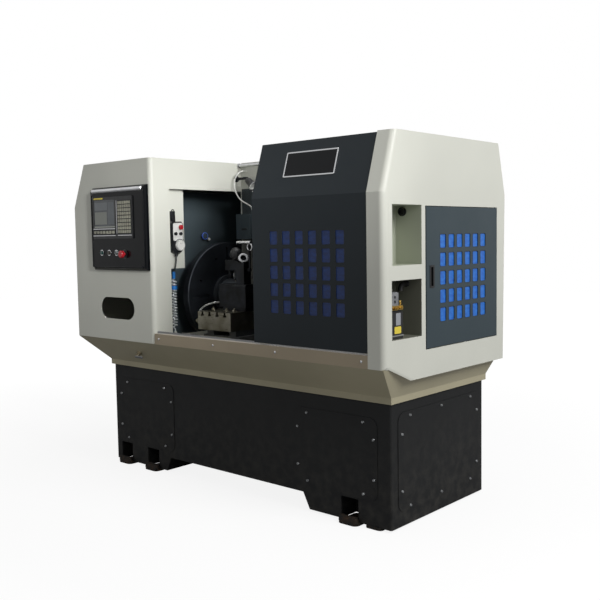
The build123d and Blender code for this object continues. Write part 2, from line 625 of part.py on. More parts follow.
# Slotted table on the cross slide
with BuildPart() as tslot_table:
    block((table_x[0], table_y[0], table_z[0]), (table_x[1], table_y[1], table_z[1]))
    for slot_x in (-226, -170, -112, -54):
        block((slot_x - 7, table_y[0] - 1, table_z[1] - 14), (slot_x + 7, table_y[1] + 1, table_z[1] + 1),
              Mode.SUBTRACT)
        block((slot_x - 12, table_y[0] - 1, table_z[1] - 24), (slot_x + 12, table_y[1] + 1, table_z[1] - 14),
              Mode.SUBTRACT)
    rod((table_x[0] - 20, -345, 866), (table_x[0], -345, 866), 20)
    rod((table_x[0] - 42, -345, 866), (table_x[0] - 20, -345, 866), 15)
    rod((-291, -345, 866), (-291, -345, 890), 7)
tslot_table.part.label = "tslot_table"
export_step(tslot_table.part, "parts/tslot_table.step")

# Tool post: the block, its column and the inclined head that holds the roller fork
reach = Vector(*roller_centre) - Vector(post_x, post_y, head_z)
head_dir = reach.normalized()
head_start = Vector(post_x, post_y, head_z) - head_dir * 14
fork_x = roller_w / 2 + 6
with BuildPart() as tool_post:
    block((block_x[0] + 15, block_y[0] + 12, table_z[1]), (block_x[1] - 15, block_y[1], block_z[0]))
    block((block_x[0], block_y[0], block_z[0]), (block_x[1], block_y[1], block_z[1]))
    chamfer(tool_post.edges().filter_by(Axis.X).group_by(Axis.Z)[-1], 8)
    block((post_x - 30, post_y - 26, block_z[1]), (post_x + 30, post_y + 26, head_z - 10))
    rod(tuple(head_start), tuple(head_start + head_dir * 115), 30)
    rod(tuple(head_start - head_dir * 8), tuple(head_start), 27)
    rod(tuple(head_start - head_dir * 9), tuple(head_start + head_dir * 10), 15, Mode.SUBTRACT)
    # fork: a bridge beside the roller and two cheeks that hold its pin
    block((roller_centre[0] - 30, roller_centre[1] - 84, roller_centre[2] + 28),
          (roller_centre[0] + 74, roller_centre[1] - 50, roller_centre[2] + 84))
    for cheek in (-1, 1):
        low_x = roller_centre[0] + cheek * (fork_x + 4) - 8
        block((low_x, roller_centre[1] - 60, roller_centre[2] - 16),
              (low_x + 16, roller_centre[1] + 16, roller_centre[2] + 60))
    rod((roller_centre[0] - 30, *roller_centre[1:]), (roller_centre[0] + 30, *roller_centre[1:]), 10)
    # a rod above the post with its upright
    rod((-8, post_y, head_z - 60), (-8, post_y, 1282), 6)
    rod((-98, post_y, 1282), (2, post_y, 1282), 6)
    block((-30, post_y - 8, head_z - 60), (-4, post_y + 8, head_z - 44))
tool_post.part.label = "tool_post"
export_step(tool_post.part, "parts/tool_post.step")

# Forming roller: a crowned wheel on its pin
with BuildPart() as forming_roller:
    with BuildSketch(Plane.XZ):
        with BuildLine():
            rx, rz = roller_centre[0], roller_centre[2]
            half_w = roller_w / 2
            Polyline((rx - half_w, rz + roller_r - 9), (rx - half_w, rz + 10 + running),
                     (rx + half_w, rz + 10 + running), (rx + half_w, rz + roller_r - 9))
            ThreePointArc((rx + half_w, rz + roller_r - 9), (rx, rz + roller_r),
                          (rx - half_w, rz + roller_r - 9))
        make_face()
    revolve(axis=Axis((0, 0, roller_centre[2]), (1, 0, 0)))
forming_roller.part = forming_roller.part.moved(Location((0, roller_centre[1], 0)))
forming_roller.part.label = "forming_roller"
export_step(forming_roller.part, "parts/forming_roller.step")

# Tailstock: a casting on the ways with its press cylinder behind
with BuildPart() as tailstock_body:
    end_view = [(-bed_y, way_top), (-bed_y, 790), (-85, 850), (-85, 1030), (-50, 1070), (50, 1070),
                (85, 1030), (85, 850), (bed_y, 790), (bed_y, way_top)]
    extrude(outline(Plane.YZ.offset(tail_x[0]), end_view), amount=tail_x[1] - tail_x[0])
    rod((tail_x[1], 0, axis_z), (tail_x[1] + 20, 0, axis_z), 78)
    rod((tail_x[1] + 20, 0, axis_z), (900, 0, axis_z), 62)
    rod((900, 0, axis_z), (922, 0, axis_z), 72)
    rod((tail_x[0] - 1, 0, axis_z), (880, 0, axis_z), quill_r + running, Mode.SUBTRACT)
tailstock_body.part.label = "tailstock_body"
export_step(tailstock_body.part, "parts/tailstock_body.step")

# Tailstock quill with a bored tip
with BuildPart() as tailstock_quill:
    rod((quill_tip, 0, axis_z), (quill_end, 0, axis_z), quill_r)
    chamfer(tailstock_quill.edges().group_by(Axis.X)[0], 10)
    rod((quill_tip - 1, 0, axis_z), (quill_tip + 62, 0, axis_z), 15 + running, Mode.SUBTRACT)
tailstock_quill.part.label = "tailstock_quill"
export_step(tailstock_quill.part, "parts/tailstock_quill.step")

# Pressure pad: the turning cup that clamps the sheet
with BuildPart() as pressure_pad:
    with BuildSketch(Plane.XZ):
        with BuildLine():
            Polyline((quill_tip + 60, axis_z), (quill_tip + 60, axis_z + 15), (quill_tip - 2, axis_z + 15),
                     (quill_tip - 2, axis_z + 26), (quill_tip - 26, axis_z + pad_r),
                     (quill_tip - 42, axis_z + pad_r), (quill_tip - 42, axis_z), close=True)
        make_face()
    revolve(axis=Axis((0, 0, axis_z), (1, 0, 0)))
pressure_pad.part.label = "pressure_pad"
export_step(pressure_pad.part, "parts/pressure_pad.step")

# Control panel: a bevelled box on the pod's front
with BuildPart() as control_bezel:
    block((panel_x[0], panel_front, panel_z[0]), (panel_x[1], tray_front, panel_z[1]))
    chamfer(control_bezel.edges().group_by(Axis.Y)[0], 16, 18)
    block((panel_x[0] + 26, panel_front + 4, panel_z[0] + 26),
          (panel_x[1] - 26, tray_front + 1, panel_z[1] - 28), Mode.SUBTRACT)
    with BuildSketch(Plane.XZ.offset(-panel_front - 6)):
        with Locations(*[(x, button_z) for x in button_x]):
            Circle(button_r + running)
        with Locations((stop_x, stop_z)):
            Circle(9 + running)
    extrude(amount=8, mode=Mode.SUBTRACT)
control_bezel.part.label = "control_bezel"
export_step(control_bezel.part, "parts/control_bezel.step")

# Control unit: the framed front with a screen opening
screen_x, screen_z = (-890, -690), (1374, 1526)
with BuildPart() as control_unit:
    block((unit_x[0], panel_front - 7, unit_z[0]), (unit_x[1], panel_front, unit_z[1]))
    fillet(control_unit.edges().filter_by(Axis.Y), 6)
    block((screen_x[0] + 8, panel_front - 8, screen_z[0]), (screen_x[1], panel_front - 3, screen_z[1]),
          Mode.SUBTRACT)
control_unit.part.label = "control_unit"
export_step(control_unit.part, "parts/control_unit.step")

# Display glass in the screen opening
with BuildPart() as display_glass:
    block((screen_x[0] + 8, panel_front - 5, screen_z[0]), (screen_x[1], panel_front - 3, screen_z[1]))
display_glass.part.label = "display_glass"
export_step(display_glass.part, "parts/display_glass.step")

# Keypad: a thin mat with raised keys, and the row of soft keys below the screen
with BuildPart() as keypad:
    mat_y = panel_front - 7
    block((-664, mat_y - 1.5, 1337), (-541, mat_y, 1520))
    with BuildSketch(Plane.XZ.offset(-mat_y + 1.5)):
        with Locations((-602.5, 1428.5)):
            with GridLocations(19.5, 19.5, 6, 9):
                RectangleRounded(15, 15, 2)
    extrude(amount=2)
    block((-886, mat_y - 1.5, 1335), (-686, mat_y, 1362))
    with BuildSketch(Plane.XZ.offset(-mat_y + 1.5)):
        with Locations((-786, 1348.5)):
            with GridLocations(28, 0, 7, 1):
                RectangleRounded(20, 15, 2)
    extrude(amount=2)
keypad.part.label = "keypad"
export_step(keypad.part, "parts/keypad.step")

# Push buttons: three lit caps in a row
for number, cap_x in enumerate(button_x, start=1):
    with BuildPart() as push_button:
        rod((cap_x, panel_front - 9, button_z), (cap_x, panel_front + 20, button_z), button_r)
        fillet(push_button.edges().group_by(Axis.Y)[0], 2)
    push_button.part.label = f"push_button_{number}"
    export_step(push_button.part, f"parts/push_button_{number}.step")

# Emergency stop: a mushroom cap on its stem
with BuildPart() as emergency_stop:
    rod((stop_x, panel_front - 14, stop_z), (stop_x, panel_front + 20, stop_z), 9)
    rod((stop_x, panel_front - 30, stop_z), (stop_x, panel_front - 14, stop_z), stop_r)
    fillet(emergency_stop.edges().group_by(Axis.Y)[0], 5)
emergency_stop.part.label = "emergency_stop"
export_step(emergency_stop.part, "parts/emergency_stop.step")

# Hand pendant: a tapered body with a hook plate above and a gland below
with BuildPart() as pendant_body:
    with BuildSketch(Plane.YZ.offset(strip_x)):
        with BuildLine():
            Polyline((-418, 1255), (-418, 1385), (-405, 1400), (-346, 1400), (-333, 1385), (-333, 1255),
                     (-352, 1232), (-400, 1232), close=True)
        make_face()
    extrude(amount=pendant_front - strip_x)
    fillet(pendant_body.edges().filter_by(Axis.X), 6)
    block((strip_x, -404, 1395), (strip_x + 8, -372, 1455))
    block((strip_x + 8, -400, 1410), (strip_x + 14, -376, 1420))
    rod((-431, -376, 1236), (-431, -376, 1212), 9)
    holes = ((knob_yz[0], 12, 4), (knob_yz[1], 12, 4), (pendant_stop_yz, 12, 6), (wheel_yz, 14, 6))
    for spot, depth, radius in holes:
        rod((pendant_front - depth, *spot), (pendant_front + 1, *spot), radius + running, Mode.SUBTRACT)
pendant_body.part.label = "pendant_body"
export_step(pendant_body.part, "parts/pendant_body.step")

# Pendant hand wheel with its crank knob
with BuildPart() as pendant_wheel:
    rod((pendant_front - 13, *wheel_yz), (pendant_front + 2, *wheel_yz), 6)
    rod((pendant_front + 1, *wheel_yz), (pendant_front + 13, *wheel_yz), wheel_r)
    fillet(pendant_wheel.edges().group_by(Axis.X)[-1], 3)
    rod((pendant_front + 9, *wheel_yz), (pendant_front + 14, *wheel_yz), wheel_r - 8, Mode.SUBTRACT)
    crank_yz = (wheel_yz[0], wheel_yz[1] + 14)
    rod((pendant_front + 8, *crank_yz), (pendant_front + 20, *crank_yz), 5)
pendant_wheel.part.label = "pendant_wheel"
export_step(pendant_wheel.part, "parts/pendant_wheel.step")

# Pendant selector knobs
for knob_name, (knob_y, knob_z) in zip(("pendant_knob_left", "pendant_knob_right"), knob_yz):
    with BuildPart() as pendant_knob:
        rod((pendant_front - 11, knob_y, knob_z), (pendant_front + 1, knob_y, knob_z), 4)
        rod((pendant_front + 0.5, knob_y, knob_z), (pendant_front + 12, knob_y, knob_z), knob_r)
        block((pendant_front + 8, knob_y - 2.5, knob_z - 9), (pendant_front + 14, knob_y + 2.5, knob_z + 9))
    pendant_knob.part.label = knob_name
    export_step(pendant_knob.part, f"parts/{knob_name}.step")

# Pendant stop button
with BuildPart() as pendant_stop:
    rod((pendant_front - 5, *pendant_stop_yz), (pendant_front + 7, *pendant_stop_yz), 6)
    rod((pendant_front + 6, *pendant_stop_yz), (pendant_front + 16, *pendant_stop_yz), 13)
    fillet(pendant_stop.edges().group_by(Axis.X)[-1], 3)
pendant_stop.part.label = "pendant_stop"
export_step(pendant_stop.part, "parts/pendant_stop.step")

# Pendant lead: a short plain stretch, then the curly stretch as one round outline
lead_route = [(-431, -376, 1212), (-431, -376, 1190), (-430, -382, 1164), (-428, -390, 1141),
              (-426, -401, 1114), (-426, -401, 1096)]
with BuildPart() as pendant_lead:
    add(tube(lead_route, 7))
pendant_lead.part.label = "pendant_lead"
export_step(pendant_lead.part, "parts/pendant_lead.step")
with BuildPart() as pendant_coil:
    rod((-426, -401, 1096), (-426, -401, 806), 15)
pendant_coil.part.label = "pendant_coil"
export_step(pendant_coil.part, "parts/pendant_coil.step")

# Lubricator in the lower niche: a black tank, its silver pump head and brass outlets
with BuildPart() as lubricator_tank:
    block((978, -484, 870), (1062, -380, 985))
    fillet(lubricator_tank.edges().filter_by(Axis.Z), 10)
    block((990, -474, 985), (1052, -390, 993))
lubricator_tank.part.label = "lubricator_tank"
export_step(lubricator_tank.part, "parts/lubricator_tank.step")
with BuildPart() as lubricator_pump:
    block((998, -466, 993), (1058, -412, 1066))
    for hole_z in (1028, 1048):
        rod((1048, -438, hole_z), (1059, -438, hole_z), 7, Mode.SUBTRACT)
    block((1020, -413, 996), (1044, -388, 1010))
    rod((1032, -396, 1009), (1032, -396, 1020), 7)
lubricator_pump.part.label = "lubricator_pump"
export_step(lubricator_pump.part, "parts/lubricator_pump.step")

# Vent plug near the top of the upper niche's back wall
with BuildPart() as vent_plug:
    plug_x, plug_y, plug_z = 981, niches[0][0][1], 1411
    rod((plug_x, plug_y, plug_z), (plug_x, plug_y - 6, plug_z), 20)
    rod((plug_x, plug_y - 6, plug_z), (plug_x, plug_y - 14, plug_z), 16)
    rod((plug_x, plug_y - 5, plug_z), (plug_x, plug_y - 15, plug_z), 11, Mode.SUBTRACT)
vent_plug.part.label = "vent_plug"
export_step(vent_plug.part, "parts/vent_plug.step")

# Work lamp: a straight stem from the pod and a tilting head
with BuildPart() as lamp_stem:
    rod((pod_right, 80, 1645), (pod_right + 4, 80, 1645), 18)
    rod((pod_right + 4, 80, 1645), (-358, 80, 1645), 8)
    block((-358, 71, 1637), (-352, 89, 1653))
    block((-352, 71, 1637), (-336, 75, 1653))
    block((-352, 85, 1637), (-336, 89, 1653))
    rod((-344, 70, 1645), (-344, 90, 1645), 4)
lamp_stem.part.label = "lamp_stem"
export_step(lamp_stem.part, "parts/lamp_stem.step")
lamp_axis = Vector(0.8, 0, -0.6)
lamp_start = Vector(-344, 80, 1645)
with BuildPart() as lamp_head:
    rod(tuple(lamp_start - Vector(0, 4.5, 0)), tuple(lamp_start + Vector(0, 4.5, 0)), 7)
    rod(tuple(lamp_start), tuple(lamp_start + lamp_axis * 34), 4.3)
    with BuildSketch(Plane(origin=tuple(lamp_start + lamp_axis * 30), z_dir=lamp_axis)):
        Circle(16)
    with BuildSketch(Plane(origin=tuple(lamp_start + lamp_axis * 84), z_dir=lamp_axis)):
        Circle(34)
    loft()
    rod(tuple(lamp_start - Vector(0, 6, 0)), tuple(lamp_start + Vector(0, 6, 0)), 4 + running, Mode.SUBTRACT)
lamp_head.part.label = "lamp_head"
export_step(lamp_head.part, "parts/lamp_head.step")

# Air hose from the port down to the valve box
air_route = [(-380, 108, 1690), (-380, 88, 1690), (-386, 56, 1674), (-395, 40, 1640), (-396, 37, 1602),
             (-383, 38, 1558), (-352, 44, 1518), (-312, 62, 1495), (-295, 75, 1480), (-295, 75, 1462)]
with BuildPart() as air_hose:
    add(tube(air_route, 8))
air_hose.part.label = "air_hose"
export_step(air_hose.part, "parts/air_hose.step")

# Oil hose from the table's connector to the tool block
table_route = [(-291, -345, 890), (-291, -345, 908), (-285, -336, 930), (-266, -318, 949),
               (-244, -288, 960), (-222, -262, 963), (block_x[0], -262, 963)]
with BuildPart() as table_hose:
    add(tube(table_route, 10))
table_hose.part.label = "table_hose"
export_step(table_hose.part, "parts/table_hose.step")

# Drain cock on the tray's front wall, with its quarter-turn lever
flare = Vector(0, -144, -141).normalized()
cock_start = Vector(-650, (tray_front - 406) / 2, (tray_rim + tray_lip_top) / 2)
with BuildPart() as drain_cock:
    rod(tuple(cock_start), tuple(cock_start + flare * 6), 16)
    rod(tuple(cock_start + flare * 6), tuple(cock_start + flare * 26), 10)
drain_cock.part.label = "drain_cock"
export_step(drain_cock.part, "parts/drain_cock.step")
with BuildPart() as drain_lever:
    lever_plane = Plane(origin=tuple(cock_start + flare * 26.3), x_dir=(1, 0, 0), z_dir=flare)
    with BuildSketch(lever_plane):
        with Locations((22, 0)):
            SlotOverall(66, 16)
    extrude(amount=6)
drain_lever.part.label = "drain_lever"
export_step(drain_lever.part, "parts/drain_lever.step")
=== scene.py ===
import json
from math import cos, pi, radians, sin

import bmesh
import bpy
from mathutils import Matrix, Vector

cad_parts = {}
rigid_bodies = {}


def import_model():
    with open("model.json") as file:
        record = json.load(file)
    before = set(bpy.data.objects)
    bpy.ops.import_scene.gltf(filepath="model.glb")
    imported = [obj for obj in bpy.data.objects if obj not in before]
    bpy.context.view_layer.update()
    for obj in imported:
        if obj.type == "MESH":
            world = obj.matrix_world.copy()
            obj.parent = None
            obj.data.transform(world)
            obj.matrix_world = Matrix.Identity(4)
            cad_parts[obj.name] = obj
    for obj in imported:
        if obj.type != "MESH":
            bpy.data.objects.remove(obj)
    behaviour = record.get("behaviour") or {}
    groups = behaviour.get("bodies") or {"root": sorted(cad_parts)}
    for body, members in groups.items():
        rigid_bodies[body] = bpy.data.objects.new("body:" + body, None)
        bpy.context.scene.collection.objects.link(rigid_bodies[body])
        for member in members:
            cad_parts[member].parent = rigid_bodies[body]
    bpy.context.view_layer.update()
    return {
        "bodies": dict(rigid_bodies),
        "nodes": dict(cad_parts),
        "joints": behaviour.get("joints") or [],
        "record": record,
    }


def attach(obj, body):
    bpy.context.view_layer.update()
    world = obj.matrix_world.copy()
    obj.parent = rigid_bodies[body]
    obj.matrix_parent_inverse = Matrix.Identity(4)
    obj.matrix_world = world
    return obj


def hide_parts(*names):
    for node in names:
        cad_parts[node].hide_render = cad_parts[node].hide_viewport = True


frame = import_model()
nodes = frame["nodes"]
scene = bpy.context.scene
mm = 0.001
print("stage: frame loaded")


# Small helpers

def linear(colour):
    # sRGB hex to the linear values that a shader wants
    values = [int(colour[i:i + 2], 16) / 255 for i in (0, 2, 4)]
    return tuple(v / 12.92 if v < 0.04045 else ((v + 0.055) / 1.055) ** 2.4 for v in values) + (1.0,)


def addNode(tree, kind, links=(), values=None, **settings):
    # one node with its settings, the values of its sockets and the sockets that feed it
    node = tree.nodes.new(kind)
    for key, value in settings.items():
        setattr(node, key, value)
    for key, value in (values or {}).items():
        node.inputs[key].default_value = value
    for source, target in links:
        tree.links.new(source, node.inputs[target])
    return node


def surface(name, **values):
    # a material whose constant values sit on the shader's own sockets
    material = bpy.data.materials.new(name)
    material.use_nodes = True
    tree = material.node_tree
    tree.nodes.clear()
    sockets = {key.replace("_", " "): value for key, value in values.items()}
    shader = addNode(tree, "ShaderNodeBsdfPrincipled", values=sockets)
    addNode(tree, "ShaderNodeOutputMaterial", [(shader.outputs[0], "Surface")])
    place = addNode(tree, "ShaderNodeTexCoord").outputs["Object"]
    return material, tree, shader, place


def feed(tree, shader, colour=None, rough=None):
    for source, name in ((colour, "Base Color"), (rough, "Roughness")):
        if source:
            tree.links.new(source, shader.inputs[name])


def grain(tree, place, size, detail=3.0, stretch=None):
    # fractal noise with grains about size metres wide
    if stretch:
        place = addNode(tree, "ShaderNodeMapping", [(place, "Vector")], {"Scale": stretch}).outputs[0]
    values = {"Scale": 1 / size, "Detail": detail}
    return addNode(tree, "ShaderNodeTexNoise", [(place, "Vector")], values).outputs["Fac"]


def ramp(tree, value, low, high, first, second):
    node = addNode(tree, "ShaderNodeValToRGB", [(value, 0)])
    for element, position, colour in zip(node.color_ramp.elements, (low, high), (first, second)):
        element.position, element.color = position, colour
    return node.outputs[0]


def roughen(tree, shader, height, depth, strength=0.5, then=None):
    links = [(height, "Height")] + ([(then, "Normal")] if then else [])
    node = addNode(tree, "ShaderNodeBump", links, {"Strength": strength, "Distance": depth})
    tree.links.new(node.outputs[0], shader.inputs["Normal"])
    return node.outputs[0]


def calc(tree, rule, first, second=None):
    # the second value may be a socket or a plain number
    node = addNode(tree, "ShaderNodeMath", [(first, 0)], operation=rule)
    if isinstance(second, (int, float)):
        node.inputs[1].default_value = second
    elif second:
        tree.links.new(second, node.inputs[1])
    return node.outputs[0]


def mixColour(tree, factor, first, second):
    # colours may be sockets or plain values
    node = addNode(tree, "ShaderNodeMix", [(factor, 0)], data_type="RGBA")
    for socket, colour in ((6, first), (7, second)):
        if isinstance(colour, tuple):
            node.inputs[socket].default_value = colour
        else:
            tree.links.new(colour, node.inputs[socket])
    return node.outputs[2]


def axes(tree, place):
    return addNode(tree, "ShaderNodeSeparateXYZ", [(place, "Vector")]).outputs


def inBox(tree, place, low, high):
    # 1 inside a box whose open sides are None
    inside = None
    for axis, bottom, top in zip(axes(tree, place), low, high):
        for rule, edge in (("GREATER_THAN", bottom), ("LESS_THAN", top)):
            if edge is not None:
                test = calc(tree, rule, axis, edge)
                inside = calc(tree, "MULTIPLY", inside, test) if inside else test
    return inside


def aroundX(tree, place, y, z):
    # the axes from a line along x, and the squared distance to it
    values = {"Location": (0, -y, -z)}
    parts = axes(tree, addNode(tree, "ShaderNodeMapping", [(place, "Vector")], values).outputs[0])
    squares = [calc(tree, "MULTIPLY", part, part) for part in (parts[1], parts[2])]
    return parts, calc(tree, "ADD", *squares)


def grey(value):
    return (value, value, value, 1.0)


# Materials, one function for each real finish

def powderCoat(name, **values):
    # Polyester powder coat, sprayed and baked: a fine orange peel and slightly uneven gloss
    material, tree, shader, place = surface(name, IOR=1.5, Specular_IOR_Level=values.get("shine", 0.5))
    base, drift, rough = linear(values["colour"]), values.get("drift", 0.04), values["rough"]
    light = tuple(min(1, c * (1 + drift)) for c in base[:3]) + (1.0,)
    dark = tuple(c * (1 - drift) for c in base[:3]) + (1.0,)
    colour = ramp(tree, grain(tree, place, 0.45, 2.0), 0.3, 0.7, dark, light)
    dull, glossy = grey(min(1, rough * 1.15)), grey(rough * 0.85)
    gloss = ramp(tree, grain(tree, place, 0.12, 5.0), 0.3, 0.75, glossy, dull)
    if "dust" in values:
        # workshop dust lies thicker towards the floor
        low = addNode(tree, "ShaderNodeMapRange", [(axes(tree, place)[2], 0)],
                      {1: 0.0, 2: values["dust"], 3: 1.0, 4: 0.0}).outputs[0]
        patches = ramp(tree, grain(tree, place, 0.05, 6.0), 0.4, 0.8, grey(0), grey(0.5))
        colour = mixColour(tree, calc(tree, "MULTIPLY", low, patches), colour, linear(values["dustColour"]))
    for low, high, shade in values.get("zones", ()):
        # a darker coat where a plate faces the work, and painted shade where a plate lines a niche
        inside = inBox(tree, place, low, high)
        if "outward" in values:
            normal = addNode(tree, "ShaderNodeNewGeometry").outputs["True Normal"]
            turned = calc(tree, "LESS_THAN", axes(tree, normal)[1], values["outward"])
            inside = calc(tree, "MULTIPLY", inside, turned)
        colour = mixColour(tree, inside, colour, linear(shade))
    feed(tree, shader, colour, gloss)
    peel = grain(tree, place, values.get("peel", 3 * mm), 2.0)
    roughen(tree, shader, peel, values.get("depth", 0.08 * mm), 0.35)
    return material


def castEnamel(name, **values):
    # Machine enamel brushed over a filled casting: soft waves and a low sheen
    material, tree, shader, place = surface(name, IOR=1.5, Roughness=values["rough"])
    clouds = grain(tree, place, 0.08, 6.0)
    feed(tree, shader, ramp(tree, clouds, 0.45, 0.8, linear(values["colour"]), linear(values["oil"])))
    waves = roughen(tree, shader, grain(tree, place, 25 * mm, 2.0), 0.5 * mm, 0.3)
    roughen(tree, shader, grain(tree, place, 3 * mm, 2.0), 0.1 * mm, 0.3, waves)
    return material


def groundSteel(name, **values):
    # Tool steel, ground or turned: fine parallel lines that streak the highlights
    material, tree, shader, place = surface(name, Metallic=1.0)
    lines = grain(tree, place, values["pitch"], 2.0, values["run"])
    stain = grain(tree, place, 0.07, 5.0)
    colour = ramp(tree, stain, 0.35, 0.75, linear(values["colour"]), linear(values["stain"]))
    rough = values["rough"]
    feed(tree, shader, colour, ramp(tree, lines, 0.3, 0.7, grey(rough * 0.75), grey(rough * 1.25)))
    roughen(tree, shader, lines, 0.04 * mm, 0.4)
    return material


def turnedSteel(name, **values):
    # Steel turned on a lathe: rings round the spindle line, one for each pass of the tool
    material, tree, shader, place = surface(name, Metallic=0.7, Roughness=values["rough"])
    parts, square = aroundX(tree, place, 0, spindleHeight)
    along = calc(tree, "ADD", calc(tree, "SQRT", square), parts[0])
    wave = calc(tree, "SINE", calc(tree, "MULTIPLY", along, 2 * pi / values["pitch"]))
    stain = grain(tree, place, 0.09, 5.0)
    feed(tree, shader, ramp(tree, stain, 0.35, 0.8, linear(values["colour"]), linear(values["stain"])))
    roughen(tree, shader, wave, 0.05 * mm, 0.4)
    return material


def hardChrome(name, **values):
    # Hard chrome on a ground bar: mirror bright with faint drag marks
    material, tree, shader, place = surface(name, Metallic=1.0, Base_Color=linear(values["colour"]))
    drag = grain(tree, place, 2 * mm, 2.0, (0.05, 1, 1))
    feed(tree, shader, rough=ramp(tree, drag, 0.3, 0.7, grey(0.08), grey(0.22)))
    return material


def castIron(name, **values):
    # Sand-cast grey iron left raw: a pitted, matt skin with brown bloom
    material, tree, shader, place = surface(name, Metallic=0.6, Roughness=0.75)
    bloom = grain(tree, place, 0.02, 6.0)
    feed(tree, shader, ramp(tree, bloom, 0.4, 0.75, linear(values["colour"]), linear(values["rust"])))
    roughen(tree, shader, grain(tree, place, 2 * mm, 4.0), 0.4 * mm, 0.6)
    return material


def tintedSheet(name, **values):
    # Blue polycarbonate film over a mesh: light glows through it, and its folds mottle it with painted crease
    # shade and painted highlights
    material, tree, shader, place = surface(name, IOR=1.585, Roughness=values["rough"],
                                            Transmission_Weight=values["clear"])
    creasesAndPaintedLight = grain(tree, place, 0.03, 5.0, (1, 1, 2.2))
    # painted shade and highlights: the crease noise blends the film's shade colour into its lighter colour
    feed(tree, shader, ramp(tree, creasesAndPaintedLight, 0.3, 0.72, linear(values["shade"]), linear(values["colour"])))
    roughen(tree, shader, creasesAndPaintedLight, 0.6 * mm, 0.25)
    return material


def mouldedPlastic(name, **values):
    # ABS from a spark-eroded mould: an even fine grain and a soft sheen
    material, tree, shader, place = surface(name, IOR=1.53)
    base, rough = linear(values["colour"]), values["rough"]
    worn = tuple(c * 0.88 for c in base[:3]) + (1,)
    feed(tree, shader, ramp(tree, grain(tree, place, 0.04, 4.0), 0.35, 0.75, base, worn),
         ramp(tree, grain(tree, place, 0.02, 3.0), 0.3, 0.7, grey(rough * 0.85), grey(rough * 1.15)))
    roughen(tree, shader, grain(tree, place, 1.2 * mm, 2.0), 0.05 * mm, values.get("grain", 0.3))
    return material


def unlitCap(name, **values):
    # Tinted acrylic button cap with its lamp off: dark and glossy
    material, tree, shader, place = surface(name, IOR=1.49, Roughness=0.15)
    fine = grain(tree, place, 4 * mm, 2.0)
    feed(tree, shader, ramp(tree, fine, 0.3, 0.7, linear(values["colour"]), linear(values["shade"])))
    return material


def rubber(name, **values):
    # Moulded rubber or soft PVC: matt, with a dry bloom where it bends
    material, tree, shader, place = surface(name, IOR=1.52, Roughness=values["rough"])
    bloom = grain(tree, place, 0.01, 4.0)
    feed(tree, shader, ramp(tree, bloom, 0.35, 0.8, linear(values["colour"]), linear(values["bloom"])))
    roughen(tree, shader, grain(tree, place, 2 * mm, 3.0), 0.1 * mm, 0.3)
    return material


def pendantSheath(name, **values):
    # Pendant cord: black PVC on its plain stretch and a silvery sheath on its curls
    material, tree, shader, place = surface(name, IOR=1.52, Roughness=0.28)
    bloom = grain(tree, place, 0.01, 4.0)
    dusty = ramp(tree, bloom, 0.35, 0.8, linear(values["colour"]), linear(values["bloom"]))
    above = calc(tree, "GREATER_THAN", axes(tree, place)[2], values["joint"])
    feed(tree, shader, mixColour(tree, above, dusty, linear(values["plain"])))
    return material


def turnedBrass(name, **values):
    # Free-cutting brass fittings: warm, with duller patches of tarnish here and there
    material, tree, shader, place = surface(name, Metallic=1.0)
    tarnish = grain(tree, place, 0.012, 4.0)
    feed(tree, shader, ramp(tree, tarnish, 0.35, 0.75, linear(values["colour"]), linear(values["tarnish"])),
         ramp(tree, tarnish, 0.3, 0.8, grey(0.2), grey(0.45)))
    return material


def screenGlass(name, **values):
    # Screen behind anti-glare glass: a dim grey picture in a few plain blocks
    material, tree, shader, place = surface(name, IOR=1.5, Roughness=0.2, Emission_Strength=values["glow"])
    colour = linear(values["ground"])
    for low, high, bottom, top, shade in values["blocks"]:
        inside = inBox(tree, place, (low, None, bottom), (high, None, top))
        colour = mixColour(tree, inside, colour, linear(shade))
    haze = ramp(tree, grain(tree, place, 0.06, 3.0), 0.3, 0.8, grey(0.0), grey(0.35))
    colour = mixColour(tree, haze, colour, linear(values["haze"]))
    feed(tree, shader, colour)
    tree.links.new(colour, shader.inputs["Emission Color"])
    return material


def keyMat(name, **values):
    # Silicone key mat: pale keys, a little worn by fingers, over a dark sheet
    material, tree, shader, place = surface(name, IOR=1.43, Roughness=0.5)
    raised = calc(tree, "LESS_THAN", axes(tree, place)[1], values["keyFace"])
    wear = grain(tree, place, 0.03, 3.0)
    worn = ramp(tree, wear, 0.3, 0.75, linear(values["colour"]), linear(values["worn"]))
    feed(tree, shader, mixColour(tree, raised, linear(values["sheet"]), worn))
    return material


def dialFinish(name, **values):
    # Printed hand-wheel dial: white with short black marks round its rim
    material, tree, shader, place = surface(name, IOR=1.5, Roughness=0.35)
    parts, square = aroundX(tree, place, *values["centre"])
    turns = calc(tree, "MULTIPLY", calc(tree, "ARCTAN2", parts[2], parts[1]), values["marks"])
    mark = calc(tree, "GREATER_THAN", calc(tree, "SINE", turns), 0.75)
    rim = calc(tree, "MULTIPLY", calc(tree, "GREATER_THAN", square, values["rim"] ** 2), mark)
    feed(tree, shader, mixColour(tree, rim, linear(values["colour"]), linear(values["print"])))
    return material


spindleHeight = 0.985
# far deeper than a real coat's peel: the look of the back's plates was judged with it, so it stays
steepPeel = 0.47
